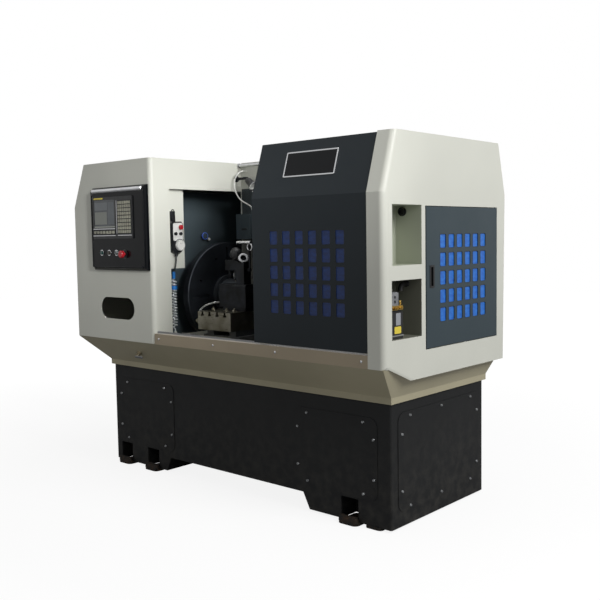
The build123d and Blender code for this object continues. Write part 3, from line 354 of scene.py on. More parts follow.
# a zone of darker coat has its low corner, its high corner and its colour
unbounded = (None, None, None)
insideWall = (unbounded, (None, 0.4700, 3.0), "353F43")
insideCabinet = (unbounded, (None, 0.4640, 1.5885), "353F43")
cream = {"colour": "D5D6CC", "rough": 0.42}
finishes = {
    "creamPaint": powderCoat("creamPowderCoat", **cream),
    "backPlate": powderCoat("backPlateCoat", **cream, depth=steepPeel, zones=[insideWall], outward=0.1),
    "cabinetCoat": powderCoat("cabinetCoat", **cream, depth=steepPeel, zones=[insideCabinet], outward=0.1),
    # painted shade: the linings of the end cover's two niches take darker greys for the shade inside them,
    # the lower one darker
    "nichePaintedShadeCoat": powderCoat("nichePaintedShadeCoat", **cream, zones=[
        ((None, -0.4845, 1.1815), (1.0828, -0.2675, 1.4375), "B4B9A8"),
        ((None, -0.4905, 0.8695), (1.0828, -0.2695, 1.1195), "75766A")]),
    # painted shade and reflection: the tray wears the same cream paint, and this darker, browner coat stands
    # for its shade and the floor it reflects
    "trayShadeAndReflection": powderCoat("trayCoatPaintedShadeAndReflection", colour="ADA68C", rough=0.42, drift=0.06),
    "slatePaint": powderCoat("slatePowderCoat", colour="192126", rough=0.45, drift=0.07, shine=0.3),
    "doorPaint": powderCoat("doorPowderCoat", colour="38444A", rough=0.42, drift=0.07, shine=0.3),
    "panelPaint": powderCoat("panelBlackEnamel", colour="0A0C0F", rough=0.22, drift=0.1, shine=0.2),
    # painted shade and reflection: this darker, browner coat stands for the shade on the apron and the floor
    # it reflects
    "apronShadeAndReflection": powderCoat("apronCoatPaintedShadeAndReflection", colour="A99C86", rough=0.32, drift=0.06),
    "guardPaint": powderCoat("guardPowderCoat", colour="3E494E", rough=0.5, drift=0.08),
    "basePaint": powderCoat("baseTexturedCoat", colour="151617", rough=0.55, drift=0.12, shine=0.3,
                            peel=2 * mm, depth=0.25 * mm, dust=0.5, dustColour="4A4843"),
    "castingEnamel": castEnamel("machineEnamel", colour="55585A", oil="35332E", rough=0.45),
    "motorEnamel": castEnamel("motorEnamel", colour="2F3E4C", oil="22262A", rough=0.4),
    "groundSteel": groundSteel("groundToolSteel", colour="8F8C80", stain="6A6553", rough=0.35,
                               pitch=3 * mm, run=(0.04, 1, 1)),
    "blackSteel": groundSteel("oiledBlackSteel", colour="34363A", stain="22211F", rough=0.42,
                              pitch=3 * mm, run=(1, 0.1, 1)),
    "satinSilver": groundSteel("satinAluminium", colour="E9EAEC", stain="D2D4D6", rough=0.42,
                               pitch=2 * mm, run=(0.05, 1, 1)),
    "pumpAlloy": groundSteel("castPumpAlloy", colour="A9ABAD", stain="85878A", rough=0.5,
                             pitch=2 * mm, run=(1, 1, 1)),
    "turnedSteel": turnedSteel("turnedSteel", colour="585D62", stain="44484B", rough=0.42, pitch=2.5 * mm),
    "faceSteel": turnedSteel("oiledFaceSteel", colour="3A3F45", stain="2A2D32", rough=0.4, pitch=2.5 * mm),
    "chrome": hardChrome("hardChrome", colour="D5D6D8"),
    "castIron": castIron("rawGreyIron", colour="2A2A29", rust="4B3A2C"),
    # painted light and shade: one blue film, given a brighter lit copy on the end door and a darker shaded
    # copy in the hood
    "doorTintLit": tintedSheet("doorBlueSheetPaintedLight", colour="2C7FDA", shade="1B5CBE", rough=0.4, clear=0.05),
    "hoodTintShaded": tintedSheet("hoodBlueSheetPaintedShade", colour="0C3472", shade="061E4C", rough=0.6, clear=0.05),
    "blackPlastic": mouldedPlastic("blackMouldedPlastic", colour="1A1B1D", rough=0.4),
    "greyPlastic": mouldedPlastic("greyMouldedPlastic", colour="8C8E8C", rough=0.45),
    "whitePlastic": mouldedPlastic("whiteMouldedPlastic", colour="E2E2DE", rough=0.35),
    "redPlastic": mouldedPlastic("redMouldedPlastic", colour="B4222C", rough=0.25, grain=0.1),
    "gaugeBlue": mouldedPlastic("blueGaugeRim", colour="5C86FF", rough=0.3),
    "yellowLabel": mouldedPlastic("yellowVinylLabel", colour="E8D24A", rough=0.4, grain=0.1),
    "greyLabel": mouldedPlastic("greyVinylLabel", colour="9A9DA2", rough=0.4, grain=0.1),
    "blueCuff": mouldedPlastic("blueShrinkSleeve", colour="1E78C8", rough=0.35),
    "nylon": mouldedPlastic("castNylon", colour="CFCBBE", rough=0.5),
    "greenCap": unlitCap("greenButtonCap", colour="1E4A44", shade="16302E"),
    "amberCap": unlitCap("amberButtonCap", colour="3E3830", shade="26221C"),
    "clearCap": unlitCap("clearButtonCap", colour="6E7476", shade="3C4042"),
    "rubber": rubber("blackRubber", colour="151515", bloom="2A2A2A", rough=0.6),
    "greyHose": rubber("greyOilHose", colour="9A9C99", bloom="6E706E", rough=0.4),
    "airTube": rubber("whiteAirTube", colour="DCDDD8", bloom="BFC0BA", rough=0.3),
    "silverLead": pendantSheath("pendantSheath", colour="E2E5E8", bloom="B9BDC0", plain="191A1B",
                                joint=1.108),
    "brass": turnedBrass("turnedBrass", colour="DDBB66", tarnish="7E5C2A"),
    "dullBrass": turnedBrass("tarnishedBrass", colour="C6BCA4", tarnish="7E7562"),
    "screen": screenGlass("screenGlass", ground="3B3F42", haze="6E7276", glow=0.12, blocks=[
        (-0.876, -0.760, 1.470, 1.512, "5A5F62"), (-0.752, -0.700, 1.392, 1.512, "4C5256"),
        (-0.876, -0.765, 1.392, 1.460, "74776F"), (-0.882, -0.690, 1.374, 1.382, "8A8D86")]),
    "keys": keyMat("siliconeKeys", colour="B7B6A4", worn="8E8D80", sheet="1B1C1E", keyFace=-0.5860),
    "dial": dialFinish("printedDial", colour="E4E4E0", print="1C1C1C", centre=(-0.362, 1.272), marks=25,
                       rim=23.5 * mm),
}
print("stage: finishes made")

# each finish with the nodes that wear it
nodeFinish = {
    "basePaint": "base_frame base_covers", "pumpAlloy": "cover_screws lubricator_pump drain_lever",
    "castIron": "levelling_feet", "trayShadeAndReflection": "chip_tray", "apronShadeAndReflection": "front_apron",
    "chrome": "hood_rails feed_screw forming_roller tailstock_quill", "creamPaint": "left_pod",
    "cabinetCoat": "rear_cabinet", "backPlate": "rear_wall", "nichePaintedShadeCoat": "right_end_cover",
    "guardPaint": "tailstock_guard headstock_guard", "castingEnamel": "bed headstock tailstock_body saddle",
    "groundSteel": "spindle_bearings tslot_table", "motorEnamel": "drive_motor",
    "rubber": "drive_belt pendant_lead table_hose", "panelPaint": "control_bezel",
    "blackPlastic": "control_unit pendant_body lubricator_tank vent_plug door_handle "
                    "pendant_knob_left pendant_knob_right",
    "screen": "display_glass", "keys": "keypad", "dial": "pendant_wheel", "dullBrass": "drain_cock",
    "blackSteel": "lamp_stem tool_post", "slatePaint": "sliding_hood", "hoodTintShaded": "hood_pane",
    "nylon": "hood_shoes", "doorPaint": "end_door", "doorTintLit": "door_pane", "faceSteel": "faceplate",
    "turnedSteel": "spindle mandrel motor_pulley pressure_pad", "greenCap": "push_button_1",
    "amberCap": "push_button_2", "clearCap": "push_button_3", "redPlastic": "emergency_stop pendant_stop",
    "silverLead": "pendant_coil", "airTube": "air_hose", "whitePlastic": "lamp_head",
}
for finish, nodeNames in nodeFinish.items():
    for nodeName in nodeNames.split():
        node = nodes[nodeName]
        if not node.material_slots:
            node.data.materials.append(None)
        for materialSlot in node.material_slots:
            materialSlot.material = finishes[finish]
print("stage: nodes painted")


# Camera at the photograph's place

camera = {"place": (3.103, -3.320, 1.314), "yaw": -41.85, "pitch": -4.41, "roll": -0.94, "lens": 50.2}


def aimCamera(values):
    yaw, pitch, roll = (radians(values[k]) for k in ("yaw", "pitch", "roll"))
    forward = Vector((sin(yaw) * cos(pitch), cos(yaw) * cos(pitch), sin(pitch)))
    right = Vector((cos(yaw), -sin(yaw), 0))
    up = right.cross(forward)
    turnedRight = cos(roll) * right + sin(roll) * up
    turnedUp = cos(roll) * up - sin(roll) * right
    data = bpy.data.cameras.new("photoCamera")
    data.lens, data.sensor_width, data.clip_end = values["lens"], 36, 60
    item = bpy.data.objects.new("photoCamera", data)
    item.matrix_world = Matrix((turnedRight, turnedUp, -forward)).transposed().to_4x4()
    item.location = values["place"]
    scene.collection.objects.link(item)
    scene.camera = item


aimCamera(camera)


# Pieces are plain meshes at the origin that ride on a body

def addPiece(name, mesh, body, finish=None, place=None):
    if place:
        mesh.transform(place)
    piece = bpy.data.objects.new(name, mesh)
    scene.collection.objects.link(piece)
    if finish:
        mesh.materials.clear()
        mesh.materials.append(finishes[finish])
    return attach(piece, body)


def facing(side, origin=(0, 0, 0)):
    # a drawing's x, y and height turned to a side of the machine, in millimetres to metres
    axes = {
        "front": ((1, 0, 0), (0, 0, 1), (0, -1, 0)), "back": ((-1, 0, 0), (0, 0, 1), (0, 1, 0)),
        "right": ((0, 1, 0), (0, 0, 1), (1, 0, 0)), "left": ((0, -1, 0), (0, 0, 1), (-1, 0, 0)),
        "top": ((1, 0, 0), (0, 1, 0), (0, 0, 1)),
    }[side]
    turn = Matrix(axes).transposed().to_4x4()
    return Matrix.Translation(Vector(origin) * mm) @ turn @ Matrix.Scale(mm, 4)


def toMesh(shape, name):
    mesh = bpy.data.meshes.new(name)
    shape.to_mesh(mesh)
    shape.free()
    return mesh


def closedMesh(shape, name):
    bmesh.ops.recalc_face_normals(shape, faces=shape.faces)
    return toMesh(shape, name)


def bridge(shape, first, second, closed=True):
    # a band of faces between two rows of points
    for i in range(len(first) if closed else len(first) - 1):
        j = (i + 1) % len(first)
        shape.faces.new((first[i], first[j], second[j], second[i]))


def turned(profile, segments=32):
    # a closed solid of revolution from (radius, height) points, in millimetres
    shape = bmesh.new()
    ring = [shape.verts.new((r, 0, h)) for r, h in profile]
    edges = [shape.edges.new(pair) for pair in zip(ring, ring[1:])]
    bmesh.ops.spin(shape, geom=ring + edges, cent=(0, 0, 0), axis=(0, 0, 1), angle=2 * pi, steps=segments)
    bmesh.ops.remove_doubles(shape, verts=shape.verts, dist=0.001)
    return closedMesh(shape, "turned")


def roundedOutline(width, height, radius, steps=6):
    points = []
    for quarter, (sx, sy) in enumerate(((1, 1), (-1, 1), (-1, -1), (1, -1))):
        cx, cy = sx * (width / 2 - radius), sy * (height / 2 - radius)
        for i in range(steps + 1):
            angle = pi / 2 * (quarter + i / steps)
            points.append((cx + radius * cos(angle), cy + radius * sin(angle)))
    return points


def plate(width, height, radius, thick, bevel=0.4, border=None):
    # a rounded plate or, with the width of a border, an open frame
    shape = bmesh.new()

    def ring(wide, high, corner, level, inset):
        return [shape.verts.new((x * (1 - 2 * inset / wide), y * (1 - 2 * inset / high), level))
                for x, y in roundedOutline(wide, high, corner)]

    levels = [(0, 0), (thick - bevel, 0), (thick, bevel)]
    loops = [ring(width, height, radius, level, inset) for level, inset in levels]
    if border:
        hole = (width - 2 * border, height - 2 * border, max(radius - border, 0.5))
        loops += [ring(*hole, level, -inset) for level, inset in reversed(levels)] + loops[:1]
    for first, second in zip(loops, loops[1:]):
        bridge(shape, first, second)
    if not border:
        shape.faces.new(loops[0][::-1])
        shape.faces.new(loops[-1])
    return closedMesh(shape, "plate")


def joined(meshes):
    # several meshes as one, with their materials kept
    shape = bmesh.new()
    materials = []
    for mesh in meshes:
        before = len(shape.faces)
        shape.from_mesh(mesh)
        shape.faces.ensure_lookup_table()
        for face in shape.faces[before:]:
            face.material_index += len(materials)
        materials.extend(mesh.materials)
    result = toMesh(shape, "joined")
    for material in materials:
        result.materials.append(material)
    return result


def painted(mesh, finish, place=None):
    mesh.materials.clear()
    mesh.materials.append(finishes[finish])
    if place:
        mesh.transform(place)
    return mesh


def partsOf(values):
    # rows of turned parts and plates: what shapes one, its finish, its side and its place
    return [painted(turned(profile, segments), finish, facing(side, origin))
            for profile, segments, finish, side, origin in values.get("turned", {}).values()] + [
                painted(plate(*sizes), finish, facing(side, origin))
                for sizes, finish, side, origin in values.get("plates", {}).values()]


# Repeats: one Geometry Nodes tree sets copies of an item on chosen points

def makeSpotTree():
    tree = bpy.data.node_groups.new("itemsOnSpots", "GeometryNodeTree")
    sockets = {"Geometry": "Geometry", "Item": "Object", "Size": "Float", "Finish": "Material"}
    for label, kind in sockets.items():
        tree.interface.new_socket(label, in_out="INPUT", socket_type="NodeSocket" + kind)
    tree.interface.new_socket("Geometry", in_out="OUTPUT", socket_type="NodeSocketGeometry")
    given = addNode(tree, "NodeGroupInput").outputs
    points = addNode(tree, "GeometryNodeMeshToPoints", [(given["Geometry"], 0)])
    item = addNode(tree, "GeometryNodeObjectInfo", [(given["Item"], "Object")])
    copies = addNode(tree, "GeometryNodeInstanceOnPoints", [
        (points.outputs[0], "Points"), (item.outputs["Geometry"], "Instance"), (given["Size"], "Scale")])
    real = addNode(tree, "GeometryNodeRealizeInstances", [(copies.outputs[0], 0)])
    finish = addNode(tree, "GeometryNodeSetMaterial", [(real.outputs[0], 0), (given["Finish"], "Material")])
    addNode(tree, "NodeGroupOutput", [(finish.outputs[0], 0)])
    return tree


spotTree = makeSpotTree()


def onSpots(item, spots, finish, size=1.0):
    # runs the tree on a mesh of the spots and gives back a plain mesh
    start = bpy.data.meshes.new("spots")
    start.from_pydata([(*spot, 0)[:3] for spot in spots], [], [])
    holder, copied = bpy.data.objects.new("holder", start), bpy.data.objects.new("item", item)
    for thing in (holder, copied):
        scene.collection.objects.link(thing)
    modifier = holder.modifiers.new("grow", "NODES")
    modifier.node_group = spotTree
    inputs = {"Item": copied, "Size": size, "Finish": finishes[finish]}
    for socket in spotTree.interface.items_tree:
        if socket.in_out == "INPUT" and socket.name in inputs:
            modifier[socket.identifier] = inputs[socket.name]
    evaluated = holder.evaluated_get(bpy.context.evaluated_depsgraph_get())
    mesh = bpy.data.meshes.new_from_object(evaluated)
    holder.modifiers.remove(modifier)
    for thing in (holder, copied):
        bpy.data.objects.remove(thing)
    return mesh


def gridSpots(columns, rows, across, up):
    return [((i - (columns - 1) / 2) * across, (k - (rows - 1) / 2) * up)
            for i in range(columns) for k in range(rows)]


# Cords and hoses: the route's points are the control points of one spline

def splineCurve(name, points, diameter, finish, resolution=4):
    data = bpy.data.curves.new(name, "CURVE")
    data.dimensions = "3D"
    spline = data.splines.new("NURBS")
    spline.points.add(len(points) - 1)
    for point, place in zip(spline.points, points):
        point.co = (*[c * mm for c in place], 1)
    spline.order_u = 3
    spline.use_endpoint_u = True
    data.resolution_u = resolution
    data.bevel_depth = diameter * mm / 2
    data.bevel_resolution = 3
    data.use_fill_caps = True
    data.materials.append(finishes[finish])
    item = bpy.data.objects.new(name, data)
    scene.collection.objects.link(item)
    return item


def splineMesh(name, points, diameter, finish, resolution=8):
    # a bent rod as a plain mesh
    curve = splineCurve(name, points, diameter, finish, resolution)
    mesh = bpy.data.meshes.new_from_object(curve)
    bpy.data.objects.remove(curve)
    return painted(mesh, finish)


pendantCord = {
    "lead": [(-431, -376, 1212), (-431, -376, 1190), (-430, -382, 1164), (-428, -390, 1141),
             (-426, -401, 1114)],
    "axis": (-426, -401), "top": 1106, "bottom": 812, "end": 806, "radius": 11.5, "turns": 17, "perTurn": 14,
    "ease": 0.75, "drop": 14, "diameter": 7, "length": 1.33,
    "turned": {
        "cuff": ([(0, 0), (8, 0), (9, 3), (9, 34), (7, 38), (0, 38)], 24, "blueCuff",
                 "top", (-426, -401, 1092)),
        "clip": ([(13, 0), (17, 2), (17, 20), (13, 22), (13, 0)], 24, "blueCuff", "top", (-426, -401, 1032)),
    },
}


def makePendantCord(values):
    # the curly stretch hangs straight, and its first and last turns spiral out from the lead's own line
    points = list(values["lead"])
    count = values["turns"] * values["perTurn"]
    cx, cy = values["axis"]
    fall = values["top"] - values["bottom"] - 2 * values["drop"]
    for i in range(count + 1):
        turn = i / values["perTurn"]
        opened = sin(pi / 2 * min(1, turn / values["ease"]))
        closed = 1 - sin(pi / 2 * min(1, (values["turns"] - turn) / values["ease"]))
        reach = values["radius"] * opened * (1 - closed)
        height = values["top"] - values["drop"] * (opened + closed) - fall * i / count
        points.append((cx + reach * cos(2 * pi * turn), cy + reach * sin(2 * pi * turn), height))
    points.append((cx, cy, values["end"]))
    cord = splineCurve("pendantCord", points, values["diameter"], "silverLead", 2)
    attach(cord, "machine")
    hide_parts("pendant_lead", "pendant_coil")
    cuffs = addPiece("cordCuff", joined(partsOf(values)), "machine")


makePendantCord(pendantCord)

hoses = {
    "airHose": {
        "node": "air_hose", "body": "machine", "slot": "white_plastic", "finish": "airTube",
        "diameter": 8, "length": 0.318, "stiffness": "stiff",
        "points": [(-380, 108, 1690), (-380, 88, 1690), (-386, 56, 1674), (-395, 40, 1640), (-396, 37, 1602),
                   (-383, 38, 1558), (-352, 44, 1518), (-312, 62, 1495), (-295, 75, 1480), (-295, 75, 1462)]},
    "tableHose": {
        "node": "table_hose", "body": "cross_slide", "slot": "hose_rubber", "finish": "greyHose",
        "diameter": 10, "length": 0.167, "stiffness": "stiff",
        "points": [(-291, -345, 890), (-291, -345, 908), (-285, -336, 930), (-266, -318, 949),
                   (-244, -288, 960), (-222, -262, 963), (-200, -262, 963)]},
}
for hoseName, values in hoses.items():
    hose = splineCurve(hoseName, values["points"], values["diameter"], values["finish"], 12)
    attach(hose, values["body"])
    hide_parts(values["node"])
print("stage: cords laid")


# Fixings: button-head socket screws, as rows of side, face, spots and finish

buttonHead = [(0, 1.6), (2.2, 1.6), (2.2, 3.4), (4.2, 3.2), (6.0, 1.8), (6.5, 0)]
screwRows = {
    "apronScrews": ("front", (0, -547, 0), [(x, 779) for x in (-388, 35, 459, 960)], "chrome"),
    "bezelScrews": ("front", (0, -577, 0), [(x, z) for x in (-900, -463) for z in (1163, 1573)],
                    "blackSteel"),
    "backScrews": ("back", (0, 471, 0), [(-x, z) for x in (-1100, -770, -446, -396, 40, 520, 970)
                                         for z in (775, 1120, 1465)], "blackSteel"),
    "podSideScrews": ("left", (-1125, 0, 0), [(-y, z) for y in (-520, -40, 440) for z in (775, 1465)],
                      "blackSteel"),
    "trayScrews": ("back", (0, 406, 0), [(-x, 592) for x in (-940, -470, 0, 470, 940)], "blackSteel"),
}
for rowName, (side, origin, spots, finish) in screwRows.items():
    heads = onSpots(turned(buttonHead, 12), spots, finish)
    addPiece(rowName, heads, "machine", place=facing(side, origin))


# Window beads: a black rubber bead lines every window of the hood and the door

windowBead = {"width": 50, "height": 63, "radius": 8, "thick": 0.8, "bevel": 0.3, "border": 1.2}
beadRows = {
    "hoodBeads": ("hood", "front", (652.5, -542, 1147.5), (6, 5, 78, 78.5)),
    "doorBeads": ("door", "right", (1083, 75.5, 1115), (6, 5, 70.6, 82.2)),
}
for beadName, (body, side, origin, grid) in beadRows.items():
    beads = onSpots(plate(**windowBead), gridSpots(*grid), "rubber")
    addPiece(beadName, beads, body, place=facing(side, origin))


# Louvres on the pod's left side and over the slots of the rear wall

louvre = {"length": 230, "rise": 9, "drop": 16, "steps": 14, "wall": 1.0,
          "rows": ((0, 0, 0), (0.35, 0.75, 2), (0.75, 1, 4), (1, 0.96, 5))}


def louvreItem(values):
    # a pressed blister, open along its lower edge: each row has its depth, height and inset at the ends
    shape = bmesh.new()
    shares = [i / values["steps"] for i in range(values["steps"] + 1)]
    rows = []
    for depth, height, inset in values["rows"]:
        half, y, rise = values["length"] / 2 - inset, values["drop"] * (0.5 - depth), values["rise"] * height
        rows.append([shape.verts.new((half * (2 * share - 1), y,
                                      rise * sin(min(1, 8 * share, 8 * (1 - share)) * pi / 2)))
                     for share in shares])
    for first, second in zip(rows, rows[1:]):
        bridge(shape, first, second, closed=False)
    bmesh.ops.recalc_face_normals(shape, faces=shape.faces)
    bmesh.ops.solidify(shape, geom=shape.faces[:], thickness=-values["wall"])
    return toMesh(shape, "louvre")


louvreFields = {
    "podLouvres": ("left", (-1125, 120, 930), (2, 8, 270, 30)),
    "wallLouvresLeft": ("back", (-60, 471, 1405), (1, 6, 240, 24)),
    "wallLouvresRight": ("back", (640, 471, 1405), (1, 6, 240, 24)),
}
for fieldName, (side, origin, grid) in louvreFields.items():
    field = onSpots(louvreItem(louvre), gridSpots(*grid), "creamPaint")
    addPiece(fieldName, field, "machine", place=facing(side, origin))
print("stage: repeats grown")


# Control panel: bright mouldings, thin trims, a small strip and collars round the buttons

panelTrims = {
    "plates": {
        "screenBelow": ((200, 4, 1.4, 1.2), "chrome", "front", (-788, -584, 1367)),
        "keysBelow": ((206, 4, 1.4, 1.2), "chrome", "front", (-788, -584, 1330)),
        "padBelow": ((124, 4, 1.4, 1.2), "chrome", "front", (-602.5, -584, 1331)),
        "padSide": ((3, 180, 1.4, 1.2), "chrome", "front", (-672, -584, 1430)),
        "strip": ((84, 9, 2, 1.2), "yellowLabel", "front", (-838, -584, 1534)),
    },
    # length, height and rise, finish, place and turn
    "mouldings": {
        "top": ((448, 22, 9), "satinSilver", (-682, -575, 1576), 0),
        "foot": ((448, 12, 5), "panelPaint", (-682, -575, 1158), 0),
        "left": ((420, 12, 5), "panelPaint", (-913, -575, 1366), 90),
        "right": ((420, 12, 5), "panelPaint", (-450, -575, 1366), 90),
    },
    "collar": [(11.6, 0), (16.5, 0), (16.5, 2.2), (15.6, 3), (12.2, 3), (11.6, 2.4), (11.6, 0)],
    "buttons": [(-825, 1236), (-757, 1236), (-691, 1236)],
    "disc": [(9.6, 0), (26, 0), (26, 0.8), (9.6, 0.8), (9.6, 0)], "stop": (-621, -577, 1229),
}


def moulding(width, height, rise):
    # a half-round bar with rounded ends, lying along x
    shape = bmesh.new()
    arc = [(-cos(pi * i / 12) * height / 2, sin(pi * i / 12) * rise) for i in range(13)]
    loops = [[shape.verts.new((share * width / 2, y * small, z * small)) for y, z in arc]
             for share, small in ((-1, 0.35), (-0.985, 1), (0.985, 1), (1, 0.35))]
    for first, second in zip(loops, loops[1:]):
        bridge(shape, first, second)
    shape.faces.new(loops[0][::-1])
    shape.faces.new(loops[-1])
    return closedMesh(shape, "moulding")


def makePanelTrims(values):
    bars = []
    for sizes, finish, origin, turn in values["mouldings"].values():
        place = facing("front", origin) @ Matrix.Rotation(radians(turn), 4, "Z")
        bars.append(painted(moulding(*sizes), finish, place))
    addPiece("panelTrims", joined(partsOf(values) + bars), "machine")
    rings = onSpots(turned(values["collar"]), values["buttons"], "chrome")
    addPiece("buttonCollars", rings, "machine", place=facing("front", (0, -577, 0)))
    disc = turned(values["disc"], 40)
    addPiece("stopDisc", disc, "machine", "blackPlastic", facing("front", values["stop"]))


makePanelTrims(panelTrims)


# Bare name plate on the hood's slope

namePlate = {
    "centre": (648, 1633), "tilt": 17.7,
    # the slope's foot and its run over its rise, with the skin inside the end cover's outline
    "foot": (-547, 1488), "slope": 83 / 258, "skin": 5,
    "frame": (303, 121, 6, 3.2, 0.8, 7), "field": (291, 109, 4, 2.0),
    "rivet": [(0, 1.4), (1.6, 1.0), (2.4, 0)], "rivets": (146.9, 55.9, 3.0),
}


def makeNamePlate(values):
    (x, z), (footY, footZ), tilt = values["centre"], values["foot"], radians(values["tilt"])
    y = footY + values["slope"] * (z - footZ) + values["skin"] / cos(tilt)
    up, normal = (0, sin(tilt), cos(tilt)), (0, -cos(tilt), sin(tilt))
    turn = Matrix(((1, 0, 0), up, normal)).transposed().to_4x4()
    place = Matrix.Translation(Vector((x, y, z)) * mm) @ turn @ Matrix.Scale(mm, 4)
    frame = painted(plate(*values["frame"]), "chrome", place)
    field = painted(plate(*values["field"]), "panelPaint", place)
    across, high, level = values["rivets"]
    rivets = onSpots(turned(values["rivet"], 12),
                     [(sx * across, sy * high, level) for sx in (-1, 1) for sy in (-1, 1)], "chrome")
    rivets.transform(place)
    addPiece("namePlate", joined([frame, field, rivets]), "hood")


makeNamePlate(namePlate)


# Hand pendant: white face plate, print marks and a hanging hook

pendantTrim = {
    "plates": {"face": ((66, 96, 6, 0.5, 0.2), "whitePlastic", "right", (-417, -371, 1344))},
    "turned": {"ring": ([(31.5, 0), (34.5, 0), (34.5, 0.9), (31.5, 0.9), (31.5, 0)], 48, "blackPlastic",
                        "right", (-417, -362, 1272))},
    "screw": [(0, 0.9), (1.6, 0.9), (2, 0.4), (2, 0)], "screwFace": -416.5,
    "screws": [(y, z) for y in (-400, -342) for z in (1300, 1388)],
    "hook": [(-436, -402, 1400), (-436, -402, 1440), (-436, -396, 1462), (-436, -388, 1466),
             (-436, -380, 1462), (-436, -374, 1440), (-436, -374, 1400)], "hookThick": 4,
}


def makePendantTrim(values):
    screws = onSpots(turned(values["screw"], 10), values["screws"], "chrome")
    screws.transform(facing("right", (values["screwFace"], 0, 0)))
    addPiece("pendantFace", joined([*partsOf(values), screws]), "machine")
    hook = splineMesh("pendantBail", values["hook"], values["hookThick"], "blackSteel")
    addPiece("pendantHook", hook, "machine")


makePendantTrim(pendantTrim)


# Pressure gauge on the headstock guard

pressureGauge = {"turned": {
    "rim": ([(17, 0), (21, 0), (21, 7), (18.5, 8), (17, 6), (17, 0)], 40, "gaugeBlue",
            "right", (-598, -19, 1320)),
    "dial": ([(0, 5), (17.2, 5), (17.2, 0), (0, 0)], 40, "whitePlastic", "right", (-597, -19, 1320)),
    "tip": ([(0, 9), (6, 9), (8.4, 6), (8.4, 0), (0, 0)], 24, "whitePlastic", "right", (-597, 12, 1301)),
}}
addPiece("pressureGauge", joined(partsOf(pressureGauge)), "machine")


# Tool post trim: lifting ring, clamping knob, bright end ring and the clamps on the table

postTrim = {
    "turned": {
        "liftRing": ([(17 + 3.5 * cos(pi * k / 5), 3.5 * sin(pi * k / 5)) for k in range(11)], 28, "chrome",
                     "front", (-6, -235, 1258)),
        "bar": ([(0, -1), (7.4, -1), (8, 0), (8, 96), (7.4, 98), (0, 98)], 20, "chrome",
                "right", (-97, -235, 1282)),
        "knob": ([(0, 0), (18, 0), (30, 6), (35, 18), (35, 30), (28, 42), (14, 48), (0, 49)], 28,
                 "blackPlastic", "front", (-96, -226, 1222)),
    },
    # the bright clamping ring sits on the inclined head, square to its line
    "clampRing": [(14.5, -3), (27.6, -3), (27.6, 3), (25, 5.5), (17, 5.5), (14.5, 3), (14.5, -3)],
    "headStart": (-57, -235, 1191), "headLine": (133, -105, 86), "clampAlong": 22,
    # hex nuts on studs in the table's slots
    "nut": [(0, 22), (5, 22), (6, 21), (6, 12), (11.5, 12), (12.5, 10.5), (12.5, 1), (11.5, 0), (0, 0)],
    "nuts": [(-226, -160), (-226, -300), (-112, -310), (-54, -310)], "nutSize": 0.8, "tableTop": 922,
}


def makePostTrim(values):
    along = Vector(values["headLine"]).normalized()
    centre = Vector(values["headStart"]) + along * values["clampAlong"]
    turn = along.to_track_quat("Z", "Y").to_matrix().to_4x4()
    clamp = painted(turned(values["clampRing"], 36), "chrome",
                    Matrix.Translation(centre * mm) @ turn @ Matrix.Scale(mm, 4))
    addPiece("postTrim", joined([*partsOf(values), clamp]), "cross_slide")
    nuts = onSpots(turned(values["nut"], 6), values["nuts"], "groundSteel", values["nutSize"])
    top = facing("top", (0, 0, values["tableTop"]))
    addPiece("tableNuts", nuts, "cross_slide", place=top)


makePostTrim(postTrim)


# Lubricator: brass manifold with its outlets, plain labels and the dark elbow above it

lubricatorTrim = {
    "outlet": [(0, 13), (3.2, 13), (3.2, 9), (5.6, 9), (5.6, 3), (4.4, 0), (0, 0)], "outletFace": 1060,
    "outlets": [(-452, 1001), (-436, 1001), (-420, 1001), (-402, 1003)],
    "plates": {
        "band": ((84, 20, 3, 4, 1), "brass", "right", (1057, -424, 1002)),
        "lid": ((50, 56, 4, 3, 1), "pumpAlloy", "top", (1028, -439, 1066)),
        "yellow": ((48, 30, 3, 0.6, 0.2), "yellowLabel", "right", (1062, -424, 908)),
        "pale": ((34, 52, 3, 0.6, 0.2), "greyLabel", "right", (1062, -420, 954)),
        "strap": ((104, 5, 2, 1.4, 0.4), "greyPlastic", "right", (1061.4, -432, 884)),
    },
    "turned": {
        "union": ([(0, 20), (4, 20), (5, 16), (8, 15), (8, 6), (6, 5), (6, 0), (0, 0)], 6, "brass",
                  "top", (1050, -392, 1011)),
        "cap": ([(0, 10), (9, 10), (10.5, 8), (10.5, 0), (0, 0)], 24, "blackPlastic",
                "top", (1010, -400, 993)),
    },
}
nicheElbow = {
    "points": [(1003, -270, 1096), (1003, -296, 1096), (1003, -312, 1092), (1003, -318, 1078),
               (1003, -319, 1066)], "diameter": 22,
    "turned": {"collar": ([(11, 0), (15, 0), (15, 8), (13, 10), (11, 10), (11, 0)], 28, "blackPlastic",
                          "front", (1003, -270, 1096))},
}


def makeLubricatorTrim(values, elbow):
    outlets = onSpots(turned(values["outlet"], 6), values["outlets"], "brass")
    outlets.transform(facing("right", (values["outletFace"], 0, 0)))
    addPiece("lubricatorTrim", joined([outlets, *partsOf(values)]), "machine")
    pipe = splineMesh("nicheElbow", elbow["points"], elbow["diameter"], "rubber")
    addPiece("nicheElbow", joined([pipe, *partsOf(elbow)]), "machine")


makeLubricatorTrim(lubricatorTrim, nicheElbow)


# Valve box cover: a dark lid over the box on the rear cabinet

valveCover = {"plates": {
    "front": ((114, 142, 4, 3, 1), "guardPaint", "front", (-330, 40, 1369)),
    "left": ((80, 142, 2, 2, 0.5), "guardPaint", "left", (-385, 79, 1369)),
    "right": ((80, 142, 2, 2, 0.5), "guardPaint", "right", (-275, 79, 1369)),
    "under": ((114, 80, 2, 2, 0.5), "guardPaint", "top", (-330, 79, 1298)),
    "slot": ((42, 12, 5.5, 4, 1), "blackPlastic", "front", (-322, 39, 1355)),
}}
addPiece("valveCover", joined(partsOf(valveCover)), "machine")


# Work lamp: a turned shade with a frosted lens on its swivel

